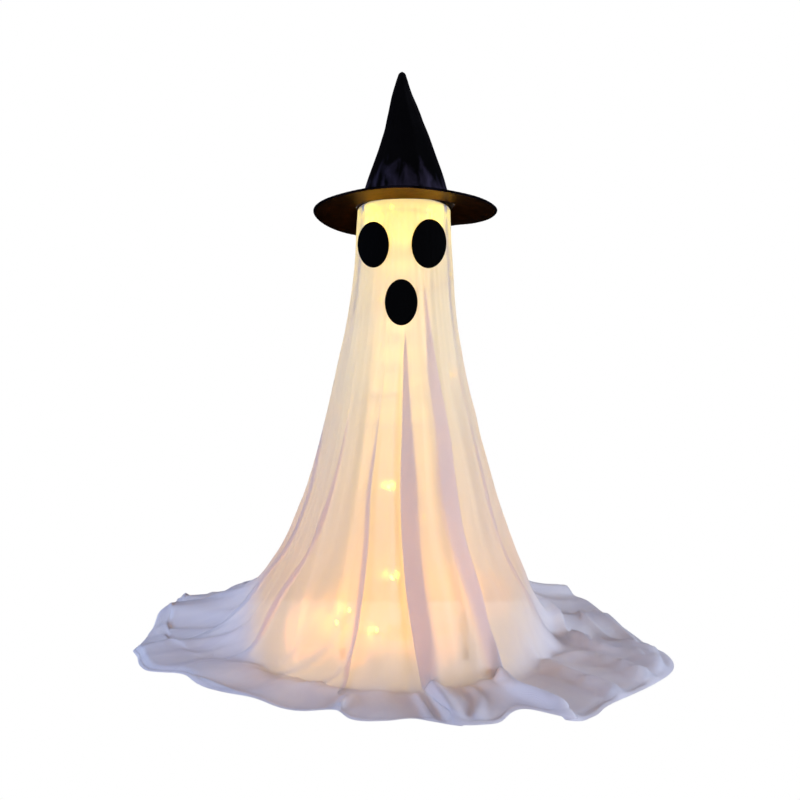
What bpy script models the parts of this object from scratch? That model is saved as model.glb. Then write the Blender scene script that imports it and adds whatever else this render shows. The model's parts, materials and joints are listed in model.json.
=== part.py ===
"""Light-up fabric ghost with a pointed hat, as an assembly of its separate pieces.

A long cloth hangs from a ring on a clip-together wire stand and spreads over the floor. Inside it a string of
small lights winds down the stand from a battery box. Felt ovals make the face, and a hollow hat sits on the head.

Metres, +Z up. Every piece hangs on one empty at the stand's axis. An azimuth is measured in degrees from the
front (-Y) towards the right (+X).
"""

import math

import bmesh
import bpy
import numpy as np
from mathutils import Vector

# Fits between neighbouring pieces
GAP = 0.0003
CUT_OVERRUN = 0.004

# Wire stand: three two-piece legs, three rings and the clips where they cross
STAND_HEIGHT = 0.8952
HEAD_RING_RADIUS = 0.0917
RING_WIRE_RADIUS = 0.002
MIDDLE_RING_HEIGHT = 0.45
BASE_RING_HEIGHT = 0.06
LEG_RADIUS = 0.004
LEG_SPREAD_RADIUS = 0.140
LEG_JOINT_HEIGHT = 0.40
LEG_AZIMUTHS = {"back": 180.0, "left": -60.0, "right": 60.0}
CLIP_WEB = 0.0027
CLIP_WALL = 0.0016
CLIP_SIDE = 0.002
CLIP_LIP = 0.001
CLIP_HEIGHT = 0.014
COUPLING_WALL = 0.0022
COUPLING_LENGTH = 0.036
FOOT_WALL = 0.0021
FOOT_FLOOR = 0.003
FOOT_HEIGHT = 0.022

# Cloth
CLOTH_THICKNESS = 0.0015
DRAPE_HEIGHT = 0.25
DRAPE_RADIUS = 0.217
FOLD_DEPTH = 0.016
RIPPLE_HEIGHT = 0.014
LIFT_HEIGHT = 0.05
HEM_RADIUS = 0.50
TOUCH_RADIUS = 0.28

# Felt face
PATCH_THICKNESS = 0.0012
PATCH_GAP = 0.0004
EYE_DROP = 0.087
MOUTH_DROP = 0.206
LEFT_EYE_WIDTH = 0.094
LEFT_EYE_LENGTH = 0.090
RIGHT_EYE_WIDTH = 0.092
RIGHT_EYE_LENGTH = 0.096
MOUTH_WIDTH = 0.064
MOUTH_LENGTH = 0.088

# Hat
CONE_HEIGHT = 0.2894
CONE_WALL = 0.0015
CONE_LEAN = 0.011
HAT_ENTRY = 0.006
BRIM_RADIUS = 0.19
BRIM_THICKNESS = 0.002
BRIM_LIFT = 0.020
BRIM_WIRE_RADIUS = 0.0015

# String of lights
STRING_RADIUS = 0.001
RISER_OFFSET = 0.0082
CORD_EXIT_HEIGHT = 0.010
CORD_BEND = 0.012
BULB_RADIUS = 0.003
BULB_LENGTH = 0.010

# Battery box
CELL_RADIUS = 0.00725
CELL_LENGTH = 0.0505
CELL_NUB_RADIUS = 0.0026
CELL_NUB_LENGTH = 0.0012
CELL_COUNT = 3
SPRING_LENGTH = 0.004
SPRING_RADIUS = 0.0034
SPRING_TIP_RADIUS = 0.0022
CONTACT_THICKNESS = 0.0005
BOX_WALL = 0.0018
BOX_SETBACK = 0.01385
RAIL_DEPTH = 0.0013
RAIL_THICKNESS = 0.0012
COVER_THICKNESS = 0.0016
COVER_GRIP_HEIGHT = 0.0008
COVER_GRIP_WIDTH = 0.003
SWITCH_BAY_LENGTH = 0.009
KNOB_WIDTH = 0.003
KNOB_BASE_WIDTH = 0.0066
KNOB_BASE_HEIGHT = 0.002
KNOB_RISE = 0.0018
KNOB_LENGTH = 0.005
KNOB_TRAVEL = 0.003

# Fineness of the solids
RING_SEGMENTS = 36
WIRE_SIDES = 6
ROD_SIDES = 12
HAT_SIDES = 36
BULB_SIDES = 8
CELL_SIDES = 14
PATCH_SEGMENTS = 20
PATCH_RING_SHARES = (0.25, 0.5, 0.75, 1.0)
LOOP_POINTS = 24
STRING_CHECK_STEPS = 12

# Twelve folds: each ridge's azimuth, and its height as a share of the fold depth
FOLDS = (
    (-62.0, 0.9),
    (-42.0, 0.7),
    (-21.0, 0.8),
    (4.0, 0.8),
    (27.0, 1.0),
    (57.0, 0.9),
    (90.0, 0.8),
    (125.0, 0.9),
    (160.0, 0.8),
    (195.0, 0.8),
    (230.0, 0.9),
    (265.0, 0.8),
)
COLUMNS_PER_FOLD = 4
DRAPE_POWER = 1.85
FOLD_START_SHARE = 0.34
FOLD_GROWTH_POWER = 1.1
BODY_ROW_SHARES = (0.0, 0.17, 0.29, 0.41, 0.56, 0.72, 0.87, 1.0)
FLARE_ROW_SHARES = (0.4, 0.75)
FLOOR_ROW_SHARES = (0.0, 0.55, 1.0)

# Along the floor rows: how much of the ripple and of the lift each row takes
RIPPLE_ROW_SHARES = (0.25, 1.0, 0.3)
LIFT_ROW_SHARES = (0.1, 1.0, 0.45)

# Hem radius round the figure, as shares of the hem radius
HEM_SHARES = (
    (-180.0, 0.88),
    (-160.0, 0.95),
    (-140.0, 1.13),
    (-126.0, 1.18),
    (-105.0, 1.15),
    (-90.0, 1.11),
    (-77.0, 1.01),
    (-66.0, 0.87),
    (-52.0, 0.81),
    (-36.0, 0.78),
    (-22.0, 0.78),
    (-9.0, 0.81),
    (2.0, 0.79),
    (14.0, 0.87),
    (26.0, 0.86),
    (34.0, 0.97),
    (46.0, 0.945),
    (60.0, 0.97),
    (74.0, 1.015),
    (100.0, 1.01),
    (120.0, 1.10),
    (136.0, 1.14),
    (158.0, 0.96),
)

# Where the cloth meets the floor, as shares of the touch radius
TOUCH_SHARES = (
    (-150.0, 1.32),
    (-95.0, 1.50),
    (-60.0, 1.12),
    (-30.0, 0.96),
    (0.0, 0.96),
    (30.0, 0.97),
    (60.0, 1.10),
    (95.0, 1.30),
    (150.0, 1.30),
)

# How far the cloth on the floor is bunched up, as shares of the lift height
LIFT_SHARES = (
    (-180.0, 0.25),
    (-150.0, 0.75),
    (-125.0, 1.0),
    (-98.0, 0.7),
    (-75.0, 0.25),
    (-45.0, 0.0),
    (0.0, 0.0),
    (30.0, 0.0),
    (50.0, 0.10),
    (80.0, 0.15),
    (105.0, 0.35),
    (132.0, 0.85),
    (155.0, 0.5),
)

# Hat cone outline: share of the height, share of the base radius
CONE_PROFILE_SHARES = (
    (0.0, 1.0),
    (0.03, 0.968),
    (0.09, 0.89),
    (0.225, 0.76),
    (0.45, 0.545),
    (0.68, 0.338),
    (0.90, 0.138),
)
CONE_INNER_TIP_SHARE = 0.93
LEAN_POWER = 1.4
BRIM_ROW_SHARES = (0.0, 0.5, 1.0)
BRIM_LIFT_AZIMUTH = 140.0
BRIM_LIFT_POWER = 3

# Face places: azimuth of each patch's middle and its lean to the right, in degrees
LEFT_EYE_TURN = (-46.0, 0.0)
RIGHT_EYE_TURN = (35.5, 3.0)
MOUTH_TURN = (-1.5, 0.0)

# Route of the wound string: azimuth counted on through every turn, and height as a share of the way from the
# top of the base clips to the top of the stand
STRING_ROUTE_SHARES = (
    (165.0, 0.9611),
    (90.0, 0.9643),
    (31.5, 0.9676),
    (-15.0, 0.9719),
    (-120.0, 0.9406),
    (-240.0, 0.8573),
    (-360.0, 0.7708),
    (-540.0, 0.6584),
    (-720.0, 0.5471),
    (-900.0, 0.4347),
    (-1093.3, 0.3217),
    (-1260.0, 0.2326),
    (-1380.0, 0.1785),
    (-1448.8, 0.1196),
    (-1488.4, 0.0337),
    (-1510.5, -0.0096),
    (-1620.0, 0.0164),
    (-1740.0, 0.0142),
    (-1821.9, -0.0015),
    (-1830.0, -0.0031),
)

# Bulbs: azimuth along the route
BULB_AZIMUTHS = (
    31.5,
    -15.0,
    -105.0,
    -262.0,
    -385.0,
    -510.0,
    -662.0,
    -800.0,
    -960.0,
    -1093.3,
    -1280.0,
    -1448.8,
    -1488.4,
    -1510.5,
    -1821.9,
)

COLORS = {
    "cloth": (0.93, 0.89, 0.84),
    "felt": (0.012, 0.012, 0.014),
    "satin": (0.014, 0.014, 0.02),
    "hat_wire": (0.03, 0.03, 0.035),
    "stand": (0.85, 0.85, 0.85),
    "clip": (0.9, 0.9, 0.9),
    "rubber": (0.05, 0.05, 0.05),
    "string": (0.78, 0.50, 0.28),
    "bulb": (1.0, 0.82, 0.45),
    "casing": (0.9, 0.9, 0.9),
    "cell": (0.12, 0.12, 0.13),
    "steel": (0.7, 0.7, 0.72),
    "knob": (0.06, 0.06, 0.06),
}
FINISHES = {
    "cloth": (0.85, 0.0),
    "felt": (0.95, 0.0),
    "satin": (0.42, 0.0),
    "hat_wire": (0.5, 0.0),
    "stand": (0.4, 0.0),
    "clip": (0.45, 0.0),
    "rubber": (0.8, 0.0),
    "string": (0.35, 1.0),
    "bulb": (0.15, 0.0),
    "casing": (0.45, 0.0),
    "cell": (0.4, 0.0),
    "steel": (0.3, 1.0),
    "knob": (0.5, 0.0),
}

# Sizes that follow from the ones above
CLOTH_HEAD_RADIUS = HEAD_RING_RADIUS + RING_WIRE_RADIUS + GAP + CLOTH_THICKNESS
CLOTH_TOP = STAND_HEIGHT + GAP + CLOTH_THICKNESS
HAT_BASE_HEIGHT = CLOTH_TOP - HAT_ENTRY
EYE_HEIGHT = CLOTH_TOP - EYE_DROP
MOUTH_HEIGHT = CLOTH_TOP - MOUTH_DROP
LEG_TOP_RADIUS = HEAD_RING_RADIUS - RING_WIRE_RADIUS - CLIP_WEB - LEG_RADIUS
HEAD_RING_HEIGHT = STAND_HEIGHT - RING_WIRE_RADIUS
BASE_CLIP_TOP = BASE_RING_HEIGHT + CLIP_HEIGHT / 2
STRING_STANDOFF = LEG_RADIUS + GAP + STRING_RADIUS
FOOT_RADIUS = LEG_RADIUS + GAP + FOOT_WALL
CELL_PITCH = 2 * (CELL_RADIUS + GAP)
BAY_WIDTH = CELL_COUNT * CELL_PITCH
BAY_LENGTH = CELL_LENGTH + SPRING_LENGTH + 2 * CONTACT_THICKNESS + 5 * GAP
BAY_TOP = BOX_WALL + CELL_PITCH
SLOT_TOP = BAY_TOP + COVER_THICKNESS + 2 * GAP
BOX_HEIGHT = SLOT_TOP + RAIL_THICKNESS
BOX_LENGTH = 3 * BOX_WALL + BAY_LENGTH + SWITCH_BAY_LENGTH
BOX_WIDTH = BAY_WIDTH + 2 * (RAIL_DEPTH + BOX_WALL)
BOX_DISTANCE = LEG_SPREAD_RADIUS - FOOT_RADIUS - BOX_SETBACK - BOX_WIDTH / 2


def material(key):
    """The Principled material of one of the object's substances."""
    name = "ghost_" + key
    found = bpy.data.materials.get(name)
    if found:
        return found
    made = bpy.data.materials.new(name)
    made.use_nodes = True
    shader = made.node_tree.nodes["Principled BSDF"]
    roughness, metallic = FINISHES[key]
    shader.inputs["Base Color"].default_value = (*COLORS[key], 1.0)
    shader.inputs["Roughness"].default_value = roughness
    shader.inputs["Metallic"].default_value = metallic
    return made


def add_object(name, data, parent, key=None, location=None):
    """Links an object made of the data, under the parent, with its material."""
    made = bpy.data.objects.new(name, data)
    bpy.context.scene.collection.objects.link(made)
    made.parent = parent
    if location is not None:
        made.location = location
    if key and data is not None:
        data.materials.append(material(key))
    return made


def add_empty(name, parent, location):
    """An empty that carries other pieces."""
    made = bpy.data.objects.new(name, None)
    bpy.context.scene.collection.objects.link(made)
    made.parent = parent
    made.location = location
    return made


def hide_cutter(cutter):
    """Marks a shape that only cuts others."""
    cutter.hide_render = True
    cutter.display_type = "WIRE"
    return cutter


def cut(target, *cutters):
    """Takes the cutters out of the target."""
    for cutter in cutters:
        modifier = target.modifiers.new("cut " + cutter.name, "BOOLEAN")
        modifier.operation = "DIFFERENCE"
        modifier.object = cutter


def finish_mesh(name, shape, smooth_degrees=40.0):
    """Turns a bmesh into a mesh with its faces out, smooth but for its sharp edges."""
    bmesh.ops.recalc_face_normals(shape, faces=shape.faces)
    mesh = bpy.data.meshes.new(name)
    shape.to_mesh(mesh)
    shape.free()
    mesh.shade_smooth()
    mesh.set_sharp_from_angle(angle=math.radians(smooth_degrees))
    return mesh


def around(azimuth, radius, height):
    """The point at this azimuth, distance from the axis and height."""
    turn = math.radians(azimuth)
    return Vector((radius * math.sin(turn), -radius * math.cos(turn), height))


def circular_table(table, azimuths):
    """Reads a table round the circle at the azimuths, by a smooth curve through its entries."""
    places = np.array([row[0] for row in table])
    values = np.array([row[1] for row in table])
    count = len(places)
    places = np.concatenate([places - 360.0, places, places + 360.0])
    values = np.tile(values, 3)
    slopes = (np.roll(values, -1) - np.roll(values, 1)) / (np.roll(places, -1) - np.roll(places, 1))
    wanted = (np.asarray(azimuths) - places[count]) % 360.0 + places[count]
    at = np.searchsorted(places, wanted, side="right") - 1
    width = places[at + 1] - places[at]
    share = (wanted - places[at]) / width
    left = values[at] * (1 + 2 * share) * (1 - share) ** 2 + slopes[at] * width * share * (1 - share) ** 2
    right = values[at + 1] * (3 - 2 * share) * share**2 - slopes[at + 1] * width * (1 - share) * share**2
    return left + right


def grid_solid(name, outer, inner, closed_top):
    """A shell between two grids of points, rows by columns, whose columns go round.

    With closed_top the first rows close over flat, each with a point in the middle. Without it the shell is open
    at both ends and its two first rows are joined.
    """
    shape = bmesh.new()
    skins = [[[shape.verts.new(p) for p in row] for row in grid] for grid in (outer, inner)]
    columns = len(outer[0])
    for skin in skins:
        for upper, lower in zip(skin, skin[1:]):
            for i in range(columns):
                j = (i + 1) % columns
                shape.faces.new((upper[i], upper[j], lower[j], lower[i]))
    ends = [-1] if closed_top else [0, -1]
    for end in ends:
        for i in range(columns):
            j = (i + 1) % columns
            shape.faces.new((skins[0][end][i], skins[0][end][j], skins[1][end][j], skins[1][end][i]))
    if closed_top:
        for skin, grid in zip(skins, (outer, inner)):
            middle = shape.verts.new(np.mean(grid[0], axis=0))
            for i in range(columns):
                shape.faces.new((skin[0][i], skin[0][(i + 1) % columns], middle))
    return finish_mesh(name, shape)


def lathe(name, profile, sides):
    """A solid turned about Z from (radius, height) points, whose first and last points lie on the axis."""
    shape = bmesh.new()
    rings = []
    for radius, height in profile:
        if radius == 0:
            rings.append([shape.verts.new((0, 0, height))])
            continue
        angles = [2 * math.pi * k / sides for k in range(sides)]
        rings.append([shape.verts.new((radius * math.cos(a), radius * math.sin(a), height)) for a in angles])
    for first, second in zip(rings, rings[1:]):
        for k in range(sides):
            corners = [first[k % len(first)], first[(k + 1) % len(first)]]
            corners += [second[(k + 1) % len(second)], second[k % len(second)]]
            shape.faces.new(list(dict.fromkeys(corners)))
    return finish_mesh(name, shape)


def box_mesh(name, low, high, bevel=0.0):
    """A box between two corners, with its edges bevelled."""
    shape = bmesh.new()
    bmesh.ops.create_cube(shape, size=1.0)
    middle = (Vector(low) + Vector(high)) / 2
    size = Vector(high) - Vector(low)
    for vertex in shape.verts:
        vertex.co = middle + Vector([c * s for c, s in zip(vertex.co, size)])
    if bevel:
        bmesh.ops.bevel(shape, geom=shape.edges[:], offset=bevel, segments=1, affect="EDGES")
    return finish_mesh(name, shape, 30.0)


def ring_mesh(name, radius, wire_radius, segments, sides, heights=None):
    """A wire ring about Z. The heights, one for each segment, lift its middle line."""
    shape = bmesh.new()
    loops = []
    for k in range(segments):
        turn = 2 * math.pi * k / segments
        lift = heights[k] if heights is not None else 0.0
        loop = []
        for s in range(sides):
            angle = 2 * math.pi * (s + 0.5) / sides
            reach = radius + wire_radius * math.cos(angle)
            loop.append((reach * math.sin(turn), -reach * math.cos(turn), lift + wire_radius * math.sin(angle)))
        loops.append([shape.verts.new(p) for p in loop])
    for k in range(segments):
        for s in range(sides):
            a, b = loops[k], loops[(k + 1) % segments]
            shape.faces.new((a[s], b[s], b[(s + 1) % sides], a[(s + 1) % sides]))
    return finish_mesh(name, shape, 80.0)


def rod_between(name, start, end, radius, parent, key=None):
    """A round rod between two points, its own Z along it."""
    length = (end - start).length
    mesh = lathe(name, ((0, -length / 2), (radius, -length / 2), (radius, length / 2), (0, length / 2)), ROD_SIDES)
    made = add_object(name, mesh, parent, key, (start + end) / 2)
    made.rotation_mode = "QUATERNION"
    made.rotation_quaternion = (end - start).to_track_quat("Z", "Y")
    return made


# Stand
def leg_radius_at(height):
    """How far a leg's middle line lies from the axis at this height."""
    return LEG_SPREAD_RADIUS + (LEG_TOP_RADIUS - LEG_SPREAD_RADIUS) * height / STAND_HEIGHT


def leg_point(azimuth, height):
    """A point on a leg's middle line."""
    return around(azimuth, leg_radius_at(height), height)


def inner_ring_radius(height):
    """Radius of a ring that runs inside the legs at this height."""
    return leg_radius_at(height) - LEG_RADIUS - CLIP_WEB - RING_WIRE_RADIUS


def make_stand(axis):
    """Rings, legs with their couplings and feet, and a clip at each crossing."""
    rings = {
        "head": (HEAD_RING_HEIGHT, HEAD_RING_RADIUS, HEAD_RING_HEIGHT - CLIP_HEIGHT / 2),
        "middle": (MIDDLE_RING_HEIGHT, inner_ring_radius(MIDDLE_RING_HEIGHT), MIDDLE_RING_HEIGHT),
        "base": (BASE_RING_HEIGHT, inner_ring_radius(BASE_RING_HEIGHT), BASE_RING_HEIGHT),
    }
    ring_cutters = {}
    for name, (height, radius, _) in rings.items():
        mesh = ring_mesh(name + "_ring", radius, RING_WIRE_RADIUS, RING_SEGMENTS, WIRE_SIDES)
        add_object(name + "_ring", mesh, axis, "stand", (0, 0, height))
        mesh = ring_mesh(name + "_groove", radius, RING_WIRE_RADIUS + GAP, RING_SEGMENTS, WIRE_SIDES)
        ring_cutters[name] = hide_cutter(add_object(name + "_groove", mesh, axis, None, (0, 0, height)))
    for side, azimuth in LEG_AZIMUTHS.items():
        leg_cutter = make_leg(side, azimuth, axis)
        for name, (_, radius, height) in rings.items():
            make_clip(f"{name}_clip_{side}", azimuth, radius, height, axis, leg_cutter, ring_cutters[name])


def make_leg(side, azimuth, axis):
    """One leg in two rods, the coupling that joins them and the foot cap. Gives the cutter of its bores."""
    top = leg_point(azimuth, STAND_HEIGHT)
    foot = leg_point(azimuth, FOOT_FLOOR + GAP)
    along = (top - foot).normalized()
    joint = leg_point(azimuth, LEG_JOINT_HEIGHT)
    rod_between("upper_leg_" + side, joint + along * GAP / 2, top, LEG_RADIUS, axis, "stand")
    rod_between("lower_leg_" + side, foot, joint - along * GAP / 2, LEG_RADIUS, axis, "stand")
    cutter = rod_between(
        "leg_bore_" + side, foot - along * GAP, top + along * CUT_OVERRUN, LEG_RADIUS + GAP, axis
    )
    hide_cutter(cutter)
    reach = along * COUPLING_LENGTH / 2
    coupling_radius = LEG_RADIUS + GAP + COUPLING_WALL
    coupling = rod_between("leg_coupling_" + side, joint - reach, joint + reach, coupling_radius, axis, "clip")
    cut(coupling, cutter)
    profile = ((0, 0), (FOOT_RADIUS, 0), (FOOT_RADIUS, FOOT_HEIGHT), (0, FOOT_HEIGHT))
    place = leg_point(azimuth, FOOT_HEIGHT / 2)
    cap = add_object("foot_cap_" + side, lathe("foot_cap", profile, ROD_SIDES), axis, "rubber", (place.x, place.y, 0))
    cut(cap, cutter)
    return cutter


def make_clip(name, azimuth, ring_radius, height, axis, leg_cutter, ring_cutter):
    """A block that holds a leg in its bore and a ring in its open groove."""
    leg = leg_radius_at(height)
    grip = LEG_RADIUS + CLIP_WALL
    low, high = sorted((ring_radius + math.copysign(CLIP_LIP, ring_radius - leg), leg))
    if ring_radius > leg:
        low = leg - grip
    else:
        high = leg + grip
    half = LEG_RADIUS + CLIP_SIDE
    mesh = box_mesh(name, (-half, -high, -CLIP_HEIGHT / 2), (half, -low, CLIP_HEIGHT / 2))
    clip = add_object(name, mesh, axis, "clip", (0, 0, height))
    clip.rotation_euler = (0, 0, math.radians(azimuth))
    cut(clip, leg_cutter, ring_cutter)


# Cloth
def fold_columns():
    """The azimuth of each column of the cloth, and how far it stands out there as a share from -1 to 1."""
    azimuths = []
    outs = []
    for k, (azimuth, out) in enumerate(FOLDS):
        following, following_out = FOLDS[(k + 1) % len(FOLDS)]
        span = (following - azimuth) % 360.0
        for step in range(COLUMNS_PER_FOLD):
            share = step / COLUMNS_PER_FOLD
            azimuths.append(azimuth + span * share)
            outs.append(math.cos(2 * math.pi * share) * (out + (following_out - out) * share))
    return np.array(azimuths), np.array(outs)


def drape_radius(share):
    """Radius of the cloth's outside, the folds aside, at a share of the drop from the head to where it flares."""
    return CLOTH_HEAD_RADIUS + (DRAPE_RADIUS - CLOTH_HEAD_RADIUS) * share**DRAPE_POWER


def lights_reach(height):
    """How far from the axis the inside of the cloth stays at this height, to hang free of the beads on the string."""
    return leg_radius_at(height) + STRING_STANDOFF + BULB_RADIUS + GAP


def cloth_rows():
    """Azimuths of the columns, and rows of (radius, height) for the outside and the inside of the cloth.

    Down to the drape height the radius follows a power of the drop, clear of the lights on the stand, and the folds
    stand out radially. From there a cubic curve leads each column to its touch radius, where it lies level, and the
    floor rows reach to the hem.
    """
    azimuths, fold = fold_columns()
    hem = HEM_RADIUS * circular_table(HEM_SHARES, azimuths)
    touch = TOUCH_RADIUS * circular_table(TOUCH_SHARES, azimuths)
    lift = LIFT_HEIGHT * np.maximum(circular_table(LIFT_SHARES, azimuths), 0.0)
    ripple = RIPPLE_HEIGHT * (fold - fold.min()) / (fold.max() - fold.min())
    drop = CLOTH_TOP - DRAPE_HEIGHT
    outside, inside = [], []
    for share in BODY_ROW_SHARES:
        growth = max(0.0, (share - FOLD_START_SHARE) / (1 - FOLD_START_SHARE)) ** FOLD_GROWTH_POWER
        height = CLOTH_TOP - drop * share + 0 * fold
        radius = drape_radius(share) + FOLD_DEPTH * growth * fold
        radius = np.maximum(radius, lights_reach(height) + CLOTH_THICKNESS)
        under = CLOTH_THICKNESS if share == 0 else 0.0
        outside.append((radius, height))
        inside.append((radius - CLOTH_THICKNESS, height - under))
    slope = (DRAPE_RADIUS - CLOTH_HEAD_RADIUS) * DRAPE_POWER / drop
    start = (DRAPE_RADIUS - CLOTH_THICKNESS, DRAPE_HEIGHT)
    drop_handle = DRAPE_HEIGHT / 2
    first = (start[0] + slope * drop_handle + (touch - TOUCH_RADIUS) / 3, DRAPE_HEIGHT - drop_handle)
    second = (touch - (touch - start[0]) / 3, 0.0)
    for share in FLARE_ROW_SHARES:
        weights = ((1 - share) ** 3, 3 * share * (1 - share) ** 2, 3 * share**2 * (1 - share), share**3)
        radius = weights[0] * start[0] + weights[1] * first[0] + weights[2] * second[0] + weights[3] * touch
        height = weights[0] * start[1] + weights[1] * first[1]
        along = (1 - share) ** 2, 2 * share * (1 - share), share**2
        run = along[0] * (first[0] - start[0]) + along[1] * (second[0] - first[0]) + along[2] * (touch - second[0])
        fall = along[0] * (start[1] - first[1]) + along[1] * first[1]
        length = np.hypot(run, fall)
        out, up = fall / length, run / length
        stand_off = FOLD_DEPTH * (1 - share) * fold + RIPPLE_ROW_SHARES[0] * share * ripple
        radius = radius + out * stand_off
        height = height + up * stand_off
        inside.append((radius, height))
        outside.append((radius + out * CLOTH_THICKNESS, height + up * CLOTH_THICKNESS))
    for share, rippled, raised in zip(FLOOR_ROW_SHARES, RIPPLE_ROW_SHARES, LIFT_ROW_SHARES):
        radius = touch + (hem - touch) * share
        height = ripple * rippled + lift * raised
        inside.append((radius, height))
        outside.append((radius, height + CLOTH_THICKNESS))
    return azimuths, outside, inside


def ring_points(azimuths, radius, height):
    """Points at each azimuth from arrays of radius and height."""
    turn = np.radians(azimuths)
    return np.stack([radius * np.sin(turn), -radius * np.cos(turn), height + 0 * turn], axis=1)


def make_cloth(axis):
    """The long cloth, closed over the head ring and open below. Gives its outside for what is sewn on it."""
    azimuths, outside, inside = cloth_rows()
    grids = [[ring_points(azimuths, *row) for row in rows] for rows in (outside, inside)]
    cloth = add_object("ghost_cloth", grid_solid("ghost_cloth", *grids, closed_top=True), axis, "cloth")
    spans = np.concatenate([grids[0][-1], grids[1][-1]])
    middle = (spans.min(axis=0) + spans.max(axis=0)) / 2
    return cloth, (azimuths, outside[: len(BODY_ROW_SHARES)]), Vector((middle[0], middle[1], 0))


def cloth_surface_radius(surface, azimuth, height):
    """Radius of the cloth's flat facets at an azimuth and a height above where it flares."""
    azimuths, rows = surface
    order = np.argsort(azimuths % 360.0)
    places = (azimuths % 360.0)[order]
    radii = [np.interp(azimuth % 360.0, places, row[0][order], period=360.0) for row in rows]
    heights = [float(row[1][0]) for row in rows]
    return float(np.interp(height, heights[::-1], radii[::-1]))


def make_patch(name, surface, turn, height, width, length, axis):
    """A felt oval that lies on the cloth. Its width is measured round the figure."""
    azimuth, lean = turn
    radius = cloth_surface_radius(surface, azimuth, height)
    tilt = math.radians(lean)
    shape = bmesh.new()
    skins = []
    for offset in (PATCH_GAP, PATCH_GAP + PATCH_THICKNESS):
        def on_cloth(across, up):
            place = azimuth + math.degrees(across / radius)
            reach = cloth_surface_radius(surface, place, height + up) + offset
            return shape.verts.new(around(place, reach, height + up))

        rings = []
        for share in PATCH_RING_SHARES:
            ring = []
            for k in range(PATCH_SEGMENTS):
                angle = 2 * math.pi * k / PATCH_SEGMENTS
                across, up = share * width / 2 * math.cos(angle), share * length / 2 * math.sin(angle)
                turned = (across * math.cos(tilt) + up * math.sin(tilt), up * math.cos(tilt) - across * math.sin(tilt))
                ring.append(on_cloth(*turned))
            rings.append(ring)
        skins.append((on_cloth(0, 0), rings))
    for middle, rings in skins:
        for k in range(PATCH_SEGMENTS):
            j = (k + 1) % PATCH_SEGMENTS
            shape.faces.new((middle, rings[0][k], rings[0][j]))
            for within, outside in zip(rings, rings[1:]):
                shape.faces.new((within[k], outside[k], outside[j], within[j]))
    rims = skins[0][1][-1], skins[1][1][-1]
    for k in range(PATCH_SEGMENTS):
        j = (k + 1) % PATCH_SEGMENTS
        shape.faces.new((rims[0][k], rims[0][j], rims[1][j], rims[1][k]))
    add_object(name, finish_mesh(name, shape), axis, "felt")


def make_face(surface, axis):
    """Two eyes and a mouth."""
    make_patch("left_eye_patch", surface, LEFT_EYE_TURN, EYE_HEIGHT, LEFT_EYE_WIDTH, LEFT_EYE_LENGTH, axis)
    make_patch("right_eye_patch", surface, RIGHT_EYE_TURN, EYE_HEIGHT, RIGHT_EYE_WIDTH, RIGHT_EYE_LENGTH, axis)
    make_patch("mouth_patch", surface, MOUTH_TURN, MOUTH_HEIGHT, MOUTH_WIDTH, MOUTH_LENGTH, axis)


# Hat
def cone_base_radius():
    """The cone's outer radius at its foot, so that its inside just clears the head's edge at the entry depth."""
    heights, radii = zip(*CONE_PROFILE_SHARES)
    seat_share = float(np.interp(HAT_ENTRY / CONE_HEIGHT, heights, radii))
    flat_clearance = 1 / math.cos(math.pi / HAT_SIDES)
    return ((CLOTH_HEAD_RADIUS + GAP) * flat_clearance + CONE_WALL) / seat_share


def hat_ring(radius, height, shift=0.0):
    """Points of one ring of the hat, moved sideways by the shift."""
    azimuths = [360.0 * k / HAT_SIDES for k in range(HAT_SIDES)]
    return [around(azimuth, radius, height) + Vector((shift, 0, 0)) for azimuth in azimuths]


def lean_at(height):
    """How far the cone's middle line has moved to the left at a height above its foot."""
    return -CONE_LEAN * (height / CONE_HEIGHT) ** LEAN_POWER


def make_cone(hat):
    """The hollow cone, open below, with its tip closed inside and out."""
    base = cone_base_radius()
    shape = bmesh.new()
    skins = []
    for inset, tip_height in ((0.0, CONE_HEIGHT), (CONE_WALL, CONE_INNER_TIP_SHARE * CONE_HEIGHT)):
        rings = []
        for height_share, radius_share in CONE_PROFILE_SHARES:
            height = height_share * CONE_HEIGHT
            if base * radius_share > inset:
                ring = hat_ring(base * radius_share - inset, height, lean_at(height))
                rings.append([shape.verts.new(p) for p in ring])
        tip = shape.verts.new((lean_at(tip_height), 0, tip_height))
        skins.append((rings, tip))
    for rings, tip in skins:
        for lower, upper in zip(rings, rings[1:]):
            for k in range(HAT_SIDES):
                j = (k + 1) % HAT_SIDES
                shape.faces.new((lower[k], lower[j], upper[j], upper[k]))
        for k in range(HAT_SIDES):
            shape.faces.new((rings[-1][k], rings[-1][(k + 1) % HAT_SIDES], tip))
    feet = skins[0][0][0], skins[1][0][0]
    for k in range(HAT_SIDES):
        j = (k + 1) % HAT_SIDES
        shape.faces.new((feet[0][k], feet[0][j], feet[1][j], feet[1][k]))
    add_object("hat_cone", finish_mesh("hat_cone", shape), hat, "satin")


def brim_lift(azimuth, share):
    """How far the brim is raised at this azimuth, at a share of its width."""
    towards = max(0.0, math.cos(math.radians(azimuth - BRIM_LIFT_AZIMUTH)))
    return BRIM_LIFT * towards**BRIM_LIFT_POWER * share**2


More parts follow.
